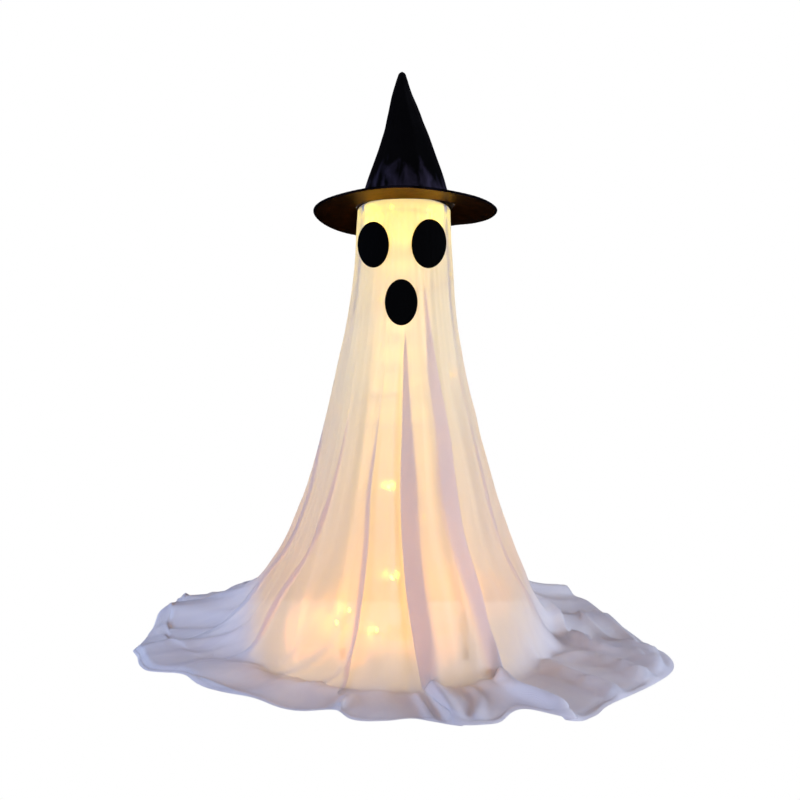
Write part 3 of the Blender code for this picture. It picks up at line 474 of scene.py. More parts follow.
@dataclass(frozen=True)
class DullSatin:
    """Polyester satin on a stiff backing: almost black, with painted soft broken highlights along its creases
    near the foot.
    """

    name: str = "black_polyester_satin"
    dark: str = "#010102"
    # lighter colour of the painted highlight patches along the creases
    light: str = "#484256"
    float_mm: float = 1.2  # the real satin float is 0.3 mm
    gloss: float = 0.14
    painted_reflection_metal: float = 0.0  # on the lining, a painted warm reflection: a metallic share that takes the lining's brown, standing in for the lit head's glow
    # warm edge tint of that painted reflection on the lining
    painted_reflection_tint: str = "#ffffff"
    foot: float = 0.885  # height up to which the painted highlight patches are full
    painted_sheen_fade: float = 0.16  # how far above it the painted highlight fades

    def build(self) -> bpy.types.Material:
        """Long fine floats, broad soft creases in the bump, and a painted highlight: the lighter colour along
        the creases near the foot.
        """
        material, tree, out = blank(self.name)
        place = add(tree, "TexCoord").outputs["Object"]
        floats = add(tree, "Mapping", {0: place, 3: (1000 / self.float_mm, 1000 / self.float_mm, 120.0)})
        threads = {"Vector": floats.outputs[0], "Scale": 1.0, "Detail": 2.0}
        grain = add(tree, "TexNoise", threads).outputs["Fac"]
        tall = add(tree, "Mapping", {0: place, 3: (42.0, 42.0, 15.0)}).outputs[0]
        creased = {"Vector": tall, "Scale": 1.0, "Detail": 3.0, "Distortion": 0.5}
        crease = add(tree, "TexNoise", creased).outputs["Fac"]
        height = add(tree, "Math", {0: grain, 1: 0.15, 2: crease}, operation="MULTIPLY_ADD").outputs[0]
        bump = add(tree, "Bump", {"Strength": 0.3, "Distance": 0.002, "Height": height}).outputs[0]
        # Painted highlight: near the foot the colour goes towards the lighter one along the creases.
        up = add(tree, "SeparateXYZ", {0: place}).outputs[2]
        painted_sheen_span = {0: up, 1: self.foot, 2: self.foot + self.painted_sheen_fade, 3: 1.0, 4: 0.25}
        painted_sheen_by_height = add(tree, "MapRange", painted_sheen_span).outputs[0]
        painted_sheen_patches = add(tree, "Math", {0: painted_sheen_by_height, 1: crease}, operation="MULTIPLY").outputs[0]
        surface = add(
            tree,
            "BsdfPrincipled",
            {
                "Base Color": ramp(tree, painted_sheen_patches, self.dark, self.light, (0.3, 0.7)),
                "Roughness": spread(tree, grain, 0.34, 0.5),
                "Normal": bump,
                "Specular IOR Level": self.gloss,
                "Specular Tint": linear(self.painted_reflection_tint),
                "Metallic": self.painted_reflection_metal,
                "Sheen Weight": 0.01,
                "Sheen Roughness": 0.3,
                "Sheen Tint": linear("#6f6780"),
            },
        )
        tree.links.new(surface.outputs[0], out.inputs["Surface"])
        return material


@dataclass(frozen=True)
class Moulding:
    """A moulded or coated surface: one colour with a fine grain and faint flow marks."""

    name: str
    dark: str
    light: str
    rough: tuple[float, float]
    grain_mm: float
    relief: float = 0.15
    metallic: float = 0.0
    coat: float = 0.0

    def build(self) -> bpy.types.Material:
        """Grain in the bump and the roughness, and slow marks in the colour."""
        material, tree, out = blank(self.name)
        place = add(tree, "TexCoord").outputs["Object"]
        fine = {"Vector": place, "Scale": 1000 / self.grain_mm, "Detail": 3.0}
        grain = add(tree, "TexNoise", fine).outputs["Fac"]
        flow = {"Vector": place, "Scale": 60.0, "Detail": 5.0, "Roughness": 0.6}
        marks = add(tree, "TexNoise", flow).outputs["Fac"]
        bump = add(tree, "Bump", {"Strength": self.relief, "Distance": 0.0003, "Height": grain}).outputs[0]
        colour = ramp(tree, marks, self.dark, self.light, (0.35, 0.65))
        look = {"Base Color": colour, "Roughness": spread(tree, grain, *self.rough), "Normal": bump}
        surface = add(tree, "BsdfPrincipled", {**look, "Metallic": self.metallic, "Coat Weight": self.coat})
        tree.links.new(surface.outputs[0], out.inputs["Surface"])
        return material


@dataclass(frozen=True)
class LitResin:
    """Clear resin bead over a lit diode: a yellow-white core that looks bright through the cloth."""

    name: str
    strength: float
    colours: tuple[str, str] = ("#ffcc40", "#ffe450")

    def build(self) -> bpy.types.Material:
        """A glossy shell with a glow that is a little uneven from end to end."""
        material, tree, out = blank(self.name)
        place = add(tree, "TexCoord").outputs["Object"]
        swirl = add(tree, "TexNoise", {"Vector": place, "Scale": 300.0, "Detail": 1.0}).outputs["Fac"]
        colour = ramp(tree, swirl, *self.colours, (0.3, 0.7))
        look = {"Base Color": colour, "Roughness": spread(tree, swirl, 0.08, 0.2), "Emission Color": colour}
        surface = add(tree, "BsdfPrincipled", {**look, "Emission Strength": self.strength})
        tree.links.new(surface.outputs[0], out.inputs["Surface"])
        return material


FINISHES = {
    "felt": PressedFelt(),
    "stand_wire": Moulding("white_powder_coated_steel", "#d9d8d4", "#ecebe7", (0.35, 0.55), 0.8, relief=0.3),
    "clip_plastic": Moulding("white_moulded_nylon", "#dedcd5", "#efede6", (0.4, 0.6), 0.5),
    "foot_rubber": Moulding("black_moulded_rubber", "#0b0b0b", "#1c1c1b", (0.7, 0.95), 0.7, relief=0.3),
    "copper_wire": Moulding(
        "lacquered_copper", "#b9713f", "#e0a06a", (0.22, 0.4), 1.0, relief=0.2, metallic=1.0, coat=0.4
    ),
    "box_plastic": Moulding("white_moulded_abs", "#e2e0da", "#f0eee9", (0.38, 0.55), 0.6),
    "cell_sleeve": Moulding(
        "dark_shrink_sleeve", "#141416", "#26262a", (0.2, 0.34), 2.0, relief=0.05, coat=0.5
    ),
    "contact_steel": Moulding(
        "nickel_plated_spring_steel", "#a9a9a6", "#cdccc8", (0.18, 0.32), 0.4, relief=0.1, metallic=1.0
    ),
    "knob_plastic": Moulding("black_moulded_abs", "#0c0c0d", "#1d1d1f", (0.4, 0.6), 0.5),
}


# Cloth
@dataclass(frozen=True)
class Pleat:
    """A fold where the cloth doubles back over itself.

    The path holds, from the head down, the row's level, the azimuth of the pleat's middle, its width in
    metres and half the room between its layers. A level above 0 is a height, and one below 0 is a way out
    over the floor, down to hem_level at the hem.
    """

    rest: float
    side: Side
    path: Table
    reach: float = 4.0


@dataclass(frozen=True)
class Fold:
    """A soft ridge, or with a height below 0 a furrow: level, azimuth, height and half width in metres."""

    path: Table


@dataclass(frozen=True)
class FloorFold:
    """A rolled ridge on the floor: height, spread to each side, and points from the stand's axis."""

    height: float
    left: float
    right: float
    points: Table


@dataclass
class GhostCloth:
    """The long cloth, one sheet that is closed over the head ring and spreads over the floor."""

    axis: Array
    finish: SheerPolyester = SheerPolyester()
    columns: int = 460
    crown_rows: int = 8
    rim_rows: int = 5
    body_rows: int = 110
    flare_rows: int = 36
    floor_rows: int = 48
    top: float = 0.8962
    sag: float = 0.003
    rim: float = 0.003
    flare_height: float = 0.17
    hem_level: float = -0.22
    floor_gap: float = 0.0022
    hem_roll: float = 0.0022
    ripples: tuple[float, float, float] = (0.0028, 0.0005, 0.0012)  # broad, fine, and on the floor
    pleated: float = 0.12  # how far a pleat counts as layers
    wave_peak: float = 1.3  # brings the wave in a pleat's columns to a height of 1
    slack: float = 0.78  # share of a pleat's reach that its wave takes up before the layers overlap
    upright_lift: tuple[float, float] = (3.2, 0.9)  # slope and width of a pleat's lift across its columns
    lying_lift: tuple[float, float] = (1.3, 1.1)  # height and width of what it gains on the floor
    cut_share: float = 0.62  # share of its square that the cut outline fills
    # height, then radius at the left, front, right and back
    body: Table = (
        (0.17, 0.2650, 0.2290, 0.2290, 0.262),
        (0.20, 0.2460, 0.2190, 0.2155, 0.245),
        (0.24, 0.2265, 0.2060, 0.2020, 0.226),
        (0.28, 0.2115, 0.1950, 0.1910, 0.209),
        (0.32, 0.1969, 0.1850, 0.1812, 0.194),
        (0.36, 0.1857, 0.1750, 0.1716, 0.181),
        (0.40, 0.1757, 0.1660, 0.1616, 0.170),
        (0.44, 0.1658, 0.1580, 0.1517, 0.160),
        (0.48, 0.1568, 0.1490, 0.1438, 0.151),
        (0.52, 0.1482, 0.1410, 0.1338, 0.142),
        (0.56, 0.1400, 0.1325, 0.1254, 0.134),
        (0.60, 0.1315, 0.1250, 0.1188, 0.127),
        (0.64, 0.1225, 0.1175, 0.1121, 0.119),
        (0.68, 0.1150, 0.1110, 0.1068, 0.113),
        (0.72, 0.1084, 0.1060, 0.1032, 0.108),
        (0.76, 0.1030, 0.1020, 0.1012, 0.103),
        (0.79, 0.1000, 0.0990, 0.0992, 0.100),
        (0.82, 0.0984, 0.0970, 0.0972, 0.098),
        (0.85, 0.0972, 0.0960, 0.0958, 0.0966),
        (0.88, 0.0954, 0.0950, 0.0950, 0.0954),
        (0.8962, 0.0948, 0.0946, 0.0946, 0.0948),
    )
    # azimuth, and radius where the cloth comes to lie on the floor
    touch: Table = (
        (-180.0, 0.375), (-155.0, 0.430), (-135.0, 0.495), (-115.0, 0.520), (-95.0, 0.495),
        (-82.0, 0.445), (-70.0, 0.380), (-60.0, 0.318), (-50.0, 0.290), (-35.0, 0.280), (0.0, 0.280),
        (30.0, 0.286), (60.0, 0.302), (92.0, 0.352), (112.0, 0.420), (130.0, 0.470), (150.0, 0.430),
    )
    # azimuth, and radius of the hem
    hem: Table = (
        (-180.0, 0.440), (-160.0, 0.475), (-140.0, 0.560), (-128.0, 0.585), (-105.0, 0.548),
        (-97.0, 0.540), (-90.0, 0.552), (-81.5, 0.524), (-75.0, 0.512), (-71.5, 0.498), (-67.5, 0.456),
        (-56.6, 0.430), (-41.0, 0.398), (-25.0, 0.401), (-16.0, 0.384), (-11.8, 0.414), (-4.0, 0.406),
        (2.5, 0.397), (5.6, 0.412), (11.0, 0.442), (17.4, 0.444), (26.5, 0.424), (30.4, 0.480),
        (36.5, 0.486), (43.0, 0.472), (52.6, 0.476), (62.7, 0.498), (73.8, 0.520), (81.0, 0.516),
        (100.0, 0.506), (113.0, 0.524), (127.0, 0.556), (137.0, 0.560), (160.0, 0.470),
    )
    # azimuth, radius past which the cloth lies in layers, and half the way over which it changes
    layered: Table = (
        (-180.0, 0.310, 0.040), (-130.0, 0.310, 0.050), (-100.0, 0.305, 0.055), (-80.0, 0.300, 0.050),
        (-65.0, 0.312, 0.026), (-50.0, 0.306, 0.014), (-41.0, 0.298, 0.013), (-24.0, 0.284, 0.014),
        (0.0, 0.278, 0.014), (15.0, 0.282, 0.016), (30.0, 0.284, 0.022), (50.0, 0.272, 0.032),
        (71.0, 0.260, 0.040), (110.0, 0.265, 0.045), (150.0, 0.290, 0.045),
    )
    # azimuth, and how high the cloth on the floor bunches
    puff: Table = (
        (-180.0, 0.010), (-160.0, 0.022), (-140.0, 0.044), (-122.0, 0.053), (-108.0, 0.059),
        (-101.0, 0.052), (-95.0, 0.026), (-90.0, 0.014), (-82.0, 0.018), (-72.0, 0.014), (-60.0, 0.005),
        (-50.0, 0.001), (0.0, 0.0), (35.0, 0.002), (60.0, 0.006), (85.0, 0.010), (105.0, 0.018),
        (118.0, 0.036), (128.0, 0.049), (142.0, 0.046), (158.0, 0.026), (170.0, 0.013),
    )
    pleats: tuple[Pleat, ...] = (
        Pleat(-19.0, Side.RIGHT, reach=3.0, path=(
            (0.66, -15.5, 0.0, 0.0), (0.56, -16.3, 0.002, 0.0008), (0.44, -18.6, 0.004, 0.002),
            (0.34, -20.6, 0.007, 0.003), (0.24, -19.2, 0.009, 0.0032), (0.17, -18.8, 0.010, 0.0034),
            (0.09, -19.8, 0.011, 0.0036), (0.03, -22.2, 0.011, 0.0036), (-0.04, -23.0, 0.012, 0.003),
            (-0.12, -17.0, 0.008, 0.0024), (-0.22, -15.0, 0.004, 0.001),
        )),
        Pleat(3.0, Side.LEFT, path=(
            (0.66, 0.6, 0.0, 0.0), (0.60, 0.8, 0.005, 0.0015), (0.54, 1.0, 0.009, 0.003),
            (0.44, 1.8, 0.019, 0.005), (0.34, 2.5, 0.030, 0.005), (0.24, 3.2, 0.031, 0.005),
            (0.15, 5.0, 0.034, 0.005), (0.06, 7.8, 0.036, 0.005), (0.0, 9.2, 0.030, 0.0032),
            (-0.08, 9.6, 0.020, 0.003), (-0.22, 10.5, 0.008, 0.0012),
        )),
        Pleat(26.0, Side.RIGHT, path=(
            (0.78, 22.0, 0.0, 0.0), (0.71, 22.0, 0.004, 0.0008), (0.65, 22.8, 0.009, 0.002),
            (0.56, 23.2, 0.023, 0.004), (0.44, 26.0, 0.034, 0.005), (0.33, 25.0, 0.042, 0.006),
            (0.25, 26.8, 0.039, 0.006), (0.19, 29.6, 0.040, 0.006), (0.11, 32.4, 0.038, 0.006),
            (0.05, 33.9, 0.033, 0.006), (0.0, 34.2, 0.030, 0.005), (-0.08, 31.4, 0.026, 0.006),
            (-0.16, 30.4, 0.020, 0.0055), (-0.22, 30.6, 0.014, 0.004),
        )),
        Pleat(57.0, Side.RIGHT, reach=3.5, path=(
            (0.62, 50.0, 0.0, 0.0), (0.50, 56.0, 0.008, 0.0010), (0.40, 61.0, 0.014, 0.0016),
            (0.32, 61.0, 0.018, 0.002), (0.25, 64.0, 0.020, 0.0022), (0.17, 70.0, 0.022, 0.003),
            (0.09, 80.0, 0.024, 0.004), (0.0, 88.0, 0.022, 0.005), (-0.10, 87.0, 0.018, 0.005),
            (-0.22, 85.0, 0.010, 0.003),
        )),
        Pleat(-47.0, Side.LEFT, reach=3.0, path=(
            (0.55, -41.0, 0.0, 0.0), (0.43, -43.4, 0.006, 0.001), (0.34, -46.0, 0.009, 0.0014),
            (0.24, -49.6, 0.012, 0.002), (0.17, -54.5, 0.013, 0.0024), (0.10, -60.0, 0.013, 0.003),
            (0.02, -65.0, 0.012, 0.003), (-0.10, -67.0, 0.010, 0.003), (-0.22, -68.0, 0.004, 0.001),
        )),
        Pleat(-72.0, Side.LEFT, reach=3.0, path=(
            (0.66, -88.0, 0.0, 0.0), (0.56, -84.0, 0.008, 0.001), (0.47, -77.0, 0.014, 0.0016),
            (0.36, -70.0, 0.018, 0.002), (0.25, -69.5, 0.020, 0.0024), (0.15, -76.0, 0.020, 0.003),
            (0.06, -83.0, 0.018, 0.004), (-0.08, -86.0, 0.012, 0.004), (-0.22, -87.0, 0.004, 0.001),
        )),
        Pleat(-97.0, Side.LEFT, reach=3.0, path=(
            (0.50, -106.0, 0.0, 0.0), (0.36, -101.0, 0.010, 0.0015), (0.24, -95.0, 0.014, 0.002),
            (0.14, -98.0, 0.016, 0.003), (0.04, -103.0, 0.014, 0.004), (-0.10, -104.0, 0.010, 0.003),
            (-0.22, -105.0, 0.003, 0.001),
        )),
        Pleat(80.0, Side.RIGHT, reach=3.0, path=(
            (0.70, 74.0, 0.0, 0.0), (0.55, 78.0, 0.008, 0.001), (0.40, 83.0, 0.012, 0.0016),
            (0.30, 85.0, 0.014, 0.002), (0.20, 90.0, 0.016, 0.0025), (0.10, 99.0, 0.018, 0.0035),
            (0.0, 108.0, 0.018, 0.0045), (-0.10, 111.0, 0.014, 0.004), (-0.22, 112.0, 0.004, 0.001),
        )),
    )
    folds: tuple[Fold, ...] = (
        Fold((
            (0.15, -20.0, 0.0, 0.005), (0.10, -24.0, 0.004, 0.006), (0.05, -33.0, 0.006, 0.007),
            (0.02, -42.0, 0.006, 0.008), (0.0, -50.0, 0.005, 0.009), (-0.10, -56.0, 0.0, 0.010),
        )),
        Fold((
            (0.10, -18.5, 0.0, 0.005), (0.06, -20.5, 0.005, 0.006), (0.03, -24.0, 0.006, 0.007),
            (0.01, -29.0, 0.006, 0.007), (-0.02, -34.0, 0.005, 0.008), (-0.10, -38.0, 0.0, 0.010),
        )),
        Fold((
            (0.20, -30.0, 0.0, 0.006), (0.12, -34.0, 0.003, 0.007), (0.06, -42.0, 0.005, 0.008),
            (0.02, -52.0, 0.005, 0.009), (0.0, -58.0, 0.004, 0.010), (-0.10, -63.0, 0.0, 0.010),
        )),
        Fold((
            (0.60, 42.0, 0.0, 0.012), (0.50, 45.0, -0.004, 0.012), (0.35, 48.0, -0.007, 0.014),
            (0.2, 50.0, -0.008, 0.018), (0.05, 55.0, -0.004, 0.022),
        )),
        Fold((
            (0.45, 76.0, 0.0, 0.014), (0.30, 78.0, 0.006, 0.014), (0.18, 88.0, 0.010, 0.016),
            (0.05, 98.0, 0.008, 0.02), (-0.05, 102.0, 0.003, 0.028), (-0.22, 104.0, 0.001, 0.030),
        )),
        Fold((
            (0.60, -6.0, 0.0, 0.010), (0.40, -8.0, 0.003, 0.010), (0.20, -7.0, 0.004, 0.014),
            (0.06, -6.0, 0.003, 0.018),
        )),
        Fold((
            (0.70, 12.0, 0.0, 0.010), (0.50, 12.0, 0.003, 0.010), (0.30, 12.0, 0.005, 0.014),
            (0.10, 17.0, 0.006, 0.018), (0.0, 20.0, 0.002, 0.02),
        )),
        Fold((
            (0.60, -32.0, 0.0, 0.014), (0.40, -33.0, 0.005, 0.014), (0.20, -36.0, 0.006, 0.020),
            (0.05, -42.0, 0.004, 0.024),
        )),
        Fold((
            (0.75, 112.0, 0.0, 0.012), (0.50, 113.0, 0.010, 0.014), (0.25, 116.0, 0.016, 0.018),
            (0.05, 120.0, 0.012, 0.026), (-0.05, 122.0, 0.004, 0.032), (-0.22, 123.0, 0.002, 0.034),
        )),
        Fold((
            (0.70, 138.0, 0.0, 0.012), (0.50, 139.0, 0.009, 0.013), (0.25, 142.0, 0.014, 0.017),
            (0.05, 146.0, 0.010, 0.026), (-0.05, 148.0, 0.004, 0.032), (-0.22, 149.0, 0.002, 0.034),
        )),
        Fold((
            (0.80, 163.0, 0.0, 0.012), (0.50, 165.0, 0.011, 0.014), (0.25, 166.0, 0.017, 0.018),
            (0.05, 168.0, 0.012, 0.026),
        )),
        Fold((
            (0.72, 188.0, 0.0, 0.012), (0.50, 189.0, 0.010, 0.013), (0.25, 191.0, 0.015, 0.017),
            (0.05, 192.0, 0.012, 0.026),
        )),
        Fold((
            (0.76, 214.0, 0.0, 0.012), (0.50, 213.0, 0.011, 0.014), (0.25, 212.0, 0.016, 0.018),
            (0.05, 208.0, 0.014, 0.028),
        )),
        Fold((
            (0.68, 238.0, 0.0, 0.012), (0.50, 237.0, 0.009, 0.013), (0.25, 234.0, 0.014, 0.017),
            (0.05, 230.0, 0.014, 0.028),
        )),
        Fold((
            (0.62, 258.0, 0.0, 0.012), (0.45, 257.0, 0.008, 0.013), (0.25, 254.0, 0.013, 0.016),
            (0.05, 250.0, 0.012, 0.026),
        )),
        Fold((
            (0.64, 93.0, 0.0, 0.012), (0.45, 94.0, 0.006, 0.013), (0.25, 98.0, 0.012, 0.016),
            (0.05, 106.0, 0.009, 0.026), (-0.05, 110.0, 0.003, 0.032), (-0.22, 112.0, 0.001, 0.034),
        )),
        Fold((
            (0.60, 19.0, 0.0, 0.010), (0.50, 19.5, 0.003, 0.011), (0.33, 20.5, 0.005, 0.014),
            (0.20, 23.0, 0.005, 0.016), (0.08, 27.0, 0.004, 0.018),
        )),
        Fold((
            (0.55, 4.0, 0.0, 0.009), (0.40, 5.5, 0.003, 0.011), (0.20, 6.5, 0.004, 0.014),
            (0.06, 12.0, 0.004, 0.016),
        )),
    )
    # folds that sweep round to the left lobe: azimuth on the body, azimuth at the hem, height
    sweeps: Table = (
        (-50.0, -69.0, 0.0070), (-55.0, -77.0, 0.0035), (-60.0, -83.0, 0.0095), (-65.5, -88.0, 0.0050),
        (-70.0, -91.0, 0.0085), (-76.0, -95.0, 0.0100), (-84.0, -102.0, 0.0050), (-92.0, -110.0, 0.0095),
        (-101.0, -121.0, 0.0060), (-113.0, -131.0, 0.0095), (-125.0, -144.0, 0.0060),
    )
    floor_folds: tuple[FloorFold, ...] = (
        FloorFold(0.010, 0.005, 0.024, (
            (-0.480, -0.165), (-0.400, -0.206), (-0.328, -0.244), (-0.260, -0.300),
        )),
        FloorFold(0.022, 0.018, 0.007, (
            (0.145, -0.185), (0.160, -0.215), (0.167, -0.270), (0.178, -0.335), (0.215, -0.372),
            (0.252, -0.415),
        )),
        FloorFold(0.020, 0.020, 0.007, (
            (0.204, -0.130), (0.262, -0.162), (0.303, -0.220), (0.330, -0.266), (0.370, -0.320),
        )),
        FloorFold(0.018, 0.018, 0.009, (
            (0.250, -0.120), (0.326, -0.112), (0.380, -0.150), (0.415, -0.205), (0.450, -0.250),
        )),
        FloorFold(0.024, 0.008, 0.014, (
            (0.262, 0.140), (0.296, 0.087), (0.330, 0.030), (0.348, -0.040), (0.375, -0.083),
            (0.433, -0.122), (0.470, -0.165),
        )),
        FloorFold(0.009, 0.005, 0.014, (
            (0.350, 0.210), (0.395, 0.130), (0.425, 0.050), (0.450, -0.025), (0.490, -0.058),
        )),
        FloorFold(0.006, 0.005, 0.014, ((0.400, 0.235), (0.445, 0.160), (0.470, 0.090), (0.482, 0.030))),
        FloorFold(0.008, 0.007, 0.010, ((-0.087, -0.260), (-0.100, -0.341), (-0.115, -0.390))),
        FloorFold(0.016, 0.014, 0.006, ((0.034, -0.230), (0.057, -0.348), (0.073, -0.425))),
        FloorFold(0.008, 0.009, 0.005, ((0.010, -0.250), (0.030, -0.353), (0.038, -0.405))),
        FloorFold(0.008, 0.012, 0.007, ((0.100, -0.255), (0.118, -0.330), (0.106, -0.410))),
        FloorFold(0.022, 0.022, 0.014, ((0.240, 0.200), (0.330, 0.270), (0.400, 0.330))),
        FloorFold(0.016, 0.018, 0.012, ((0.100, 0.300), (0.140, 0.380), (0.170, 0.440))),
        FloorFold(0.018, 0.018, 0.012, ((-0.100, 0.300), (-0.140, 0.380), (-0.180, 0.450))),
        FloorFold(0.020, 0.018, 0.012, ((-0.230, 0.230), (-0.310, 0.300), (-0.390, 0.370))),
    )
    surface: dict[str, Array] = field(default_factory=dict)

    def levels(self) -> tuple[Array, Array, Array]:
        """Each row's place on the cloth.

        Returns:
            The section (crown, rim, body, flare or floor), its share of that section, and its level.
        """
        counts = (self.crown_rows, self.rim_rows, self.body_rows, self.flare_rows, self.floor_rows)
        section = np.repeat(np.arange(5), counts)
        share = np.concatenate([(np.arange(n) + 1) / n for n in counts])
        body = self.top - self.rim - (self.top - self.rim - self.flare_height) * share
        flare = self.flare_height * (1 - share) ** 1.6
        sections = [section < 2, section == 2, section == 3]
        level = np.select(sections, [self.top + 0 * share, body, flare], self.hem_level * share)
        return section, share, level

    def columns_round(self) -> Array:
        """Resting azimuth of each column, closer together where a pleat needs them."""
        fine = np.linspace(-180, 180, 3601)
        density = np.ones_like(fine)
        for pleat in self.pleats:
            density += 3.2 * np.exp(-(((fine - pleat.rest) / pleat.reach) ** 4))
        total = np.concatenate([[0.0], np.cumsum((density[1:] + density[:-1]) / 2)])
        wanted = np.arange(self.columns) / self.columns * total[-1]
        return np.interp(wanted, total, fine)

    def turned(self, rest: Array, level: Array) -> tuple[Array, Array, Array]:
        """Azimuth of every point, how far the pleats lift it, and how far it lies in a pleat.

        Formula: the resting azimuth, moved so that each pleat's middle follows its path, plus a wave in the
        pleat's columns that runs forward, back and forward again. The lift falls from the upper layer to the
        lower one as a bell curve's slope does.

        Args:
            rest: Resting azimuth of each column.
            level: Level of each row.

        Returns:
            Azimuth, lift and share of a pleat, each with a row and a column for every point.
        """
        order = sorted(self.pleats, key=lambda pleat: pleat.rest)
        rests = np.array([pleat.rest for pleat in order])
        moves = np.array([along(pleat.path, level) - pleat.rest for pleat in order])
        knots = np.concatenate([[-170.0], rests, [170.0]])
        hats = np.array([np.interp(rest, knots, np.eye(len(knots))[k + 1]) for k in range(len(rests))])
        azimuth = rest[None, :] + moves.T @ hats
        lift = np.zeros_like(azimuth)
        radius = self.base(level)[:, None]
        on_floor = ease(0.03, -0.03, level)[:, None]
        doubled = np.zeros_like(azimuth)
        for pleat in order:
            t = (rest - pleat.rest) / (2 * pleat.reach) + 0.5
            inside = np.clip(t, 0, 1)
            wave = self.wave_peak * np.sin(2 * np.pi * inside) * np.sin(np.pi * inside)
            width = np.degrees(np.maximum(along(pleat.path, level, 2), 0)[:, None] / radius)
            grown = ease(0.0, 0.006, along(pleat.path, level, 2))[:, None]
            azimuth = azimuth + wave[None, :] * (width + self.slack * pleat.reach) / 2 * grown
            room = np.maximum(along(pleat.path, level, 3), 0)[:, None]
            x = (t - 0.5)[None, :]
            steep, across = self.upright_lift
            lift = lift - pleat.side.value * room * steep * x * bell(x, across)
            high, across = self.lying_lift
            lift = lift + on_floor * room * high * bell(x, across)
            wide = ease(0.002, 0.022, along(pleat.path, level, 2))[:, None]
            doubled = np.maximum(doubled, ease(0.62, 0.40, np.abs(x)) * wide)
        return azimuth, lift, doubled

    def base(self, level: Array) -> Array:
        """Rough radius of each row, for turning widths into angles."""
        flared = 0.229 + (self.flare_height - level) * 0.45
        return np.where(level > self.flare_height, along(self.body, level, 2), flared)

    def profile(self, section: Array, share: Array, level: Array, azimuth: Array) -> tuple[Array, Array]:
        """Radius and height of the sheet without its folds.

        Formula: the radius on the body blends its left, front, right and back tables by the squared sine and
        cosine of the azimuth. The flare is a cubic curve to where the cloth lies level, and the floor rows
        run on to the hem, level at first and down at the end. Behind, they go down from further in.

        Args:
            section: Section of each row.
            share: Share of its section at each row.
            level: Level of each row.
            azimuth: Azimuth of each point.

        Returns:
            Radius and height, each with a row and a column for every point.
        """
        turn = np.radians(azimuth)
        weights = (
            np.maximum(-np.sin(turn), 0) ** 2,
            np.maximum(np.cos(turn), 0) ** 2,
            np.maximum(np.sin(turn), 0) ** 2,
            np.maximum(-np.cos(turn), 0) ** 2,
        )

        def body_radius(height: Array) -> Array:
            """Radius of the body at one height for each row."""
            return sum(w * along(self.body, height, k + 1)[:, None] for k, w in enumerate(weights))

        edge = body_radius(np.full_like(level, self.top - self.rim))
        radius = body_radius(level)
        height = level[:, None] + 0 * azimuth
        start = body_radius(np.full_like(level, self.flare_height))
        slope = (start - body_radius(np.full_like(level, self.flare_height + 0.02))) / 0.02
        touch = round_about(self.touch, azimuth)
        hem = round_about(self.hem, azimuth)
        s = share[:, None]
        bunch = round_about(self.puff, azimuth)
        handle = self.flare_height * (0.5 - 3.3 * bunch)
        b0, b1, b2, b3 = (1 - s) ** 3, 3 * s * (1 - s) ** 2, 3 * s**2 * (1 - s), s**3
        halfway = touch - (touch - start) * 0.5
        flare_radius = b0 * start + b1 * (start + slope * handle) + b2 * halfway + b3 * touch
        flare_height = b0 * self.flare_height + b1 * (self.flare_height - handle)
        flare_height = flare_height + (b2 + b3) * self.floor_gap + (1.3 * b2 + 1.05 * b3) * bunch
        floor_radius = touch + (hem - touch) * s
        falls_from = 0.8 - 0.55 * ease(-0.5, -0.85, np.cos(turn))
        floor_height = self.floor_gap + bunch * (1.05 - 0.25 * s) * (1 - 0.85 * ease(falls_from, 1.0, s))
        floor_height = floor_height + self.hem_roll * bell(s - 0.965, 0.022)
        which = section[:, None]
        arc = np.pi / 2 * s
        choices = [which == k for k in range(5)]
        crown_radius, rim_radius = (edge - self.rim) * s, edge - self.rim + self.rim * np.sin(arc)
        radius = np.select(choices, [crown_radius, rim_radius, radius, flare_radius, floor_radius])
        crown_height = self.top - self.sag * (1 - s**2) + 0 * azimuth
        rim_height = self.top - self.rim + self.rim * np.cos(arc) + 0 * azimuth
        height = np.select(choices, [crown_height, rim_height, height, flare_height, floor_height])
        return radius, height

    def drape(self) -> tuple[Array, Array]:
        """Shapes the sheet, row by row from the crown's middle outwards.

        Formula: each point of the profile moves along its normal by its lift, which adds the pleats, a ridge
        with soft sides for each fold, the ripples and the ridges on the floor. A soft lower limit then keeps
        it off the floor.

        Returns:
            The points, and their place on the cut cloth.
        """
        section, share, level = self.levels()
        rest = self.columns_round()
        azimuth, lift, doubled = self.turned(rest, level)
        radius, height = self.profile(section, share, level, azimuth)
        out_r, out_z = np.gradient(radius, axis=0), np.gradient(height, axis=0)
        length = np.hypot(out_r, out_z) + 1e-9
        normal_r, normal_z = -out_z / length, out_r / length
        at_hem = ease(-0.215, -0.160, level)[:, None]
        for path in [fold.path for fold in self.folds] + self.sweep_paths():
            across = np.radians(turn_between(azimuth, along(path, level)[:, None])) * radius
            wide = along(path, level, 3)[:, None]
            lift = lift + along(path, level, 2)[:, None] * soft_ridge(across / wide) * at_hem
        broad, fine, lying = self.ripples
        down = ease(0.80, 0.30, level)[:, None]
        upright = ease(self.top, 0.86, level)[:, None] * ease(-0.05, 0.08, level)[:, None]
        lift = lift + broad * down * waves(azimuth, 11, range(9, 21), 1.5 * level[:, None])
        lift = lift + fine * upright * waves(azimuth, 5, range(34, 62), 2.0 * level[:, None])
        floorward = ease(0.10, -0.02, level)[:, None]
        lift = lift + lying * floorward * waves(azimuth, 23, range(14, 34), 12 * level[:, None])
        lift = lift * (section >= 2)[:, None]
        turn = np.radians(azimuth)
        low = ease(0.13, 0.05, level)[:, None] * ease(-0.222, -0.190, level)[:, None]
        lift = lift + low * self.floor_ridges(radius * np.sin(turn), -radius * np.cos(turn))
        radius, height = radius + normal_r * lift, height + normal_z * lift
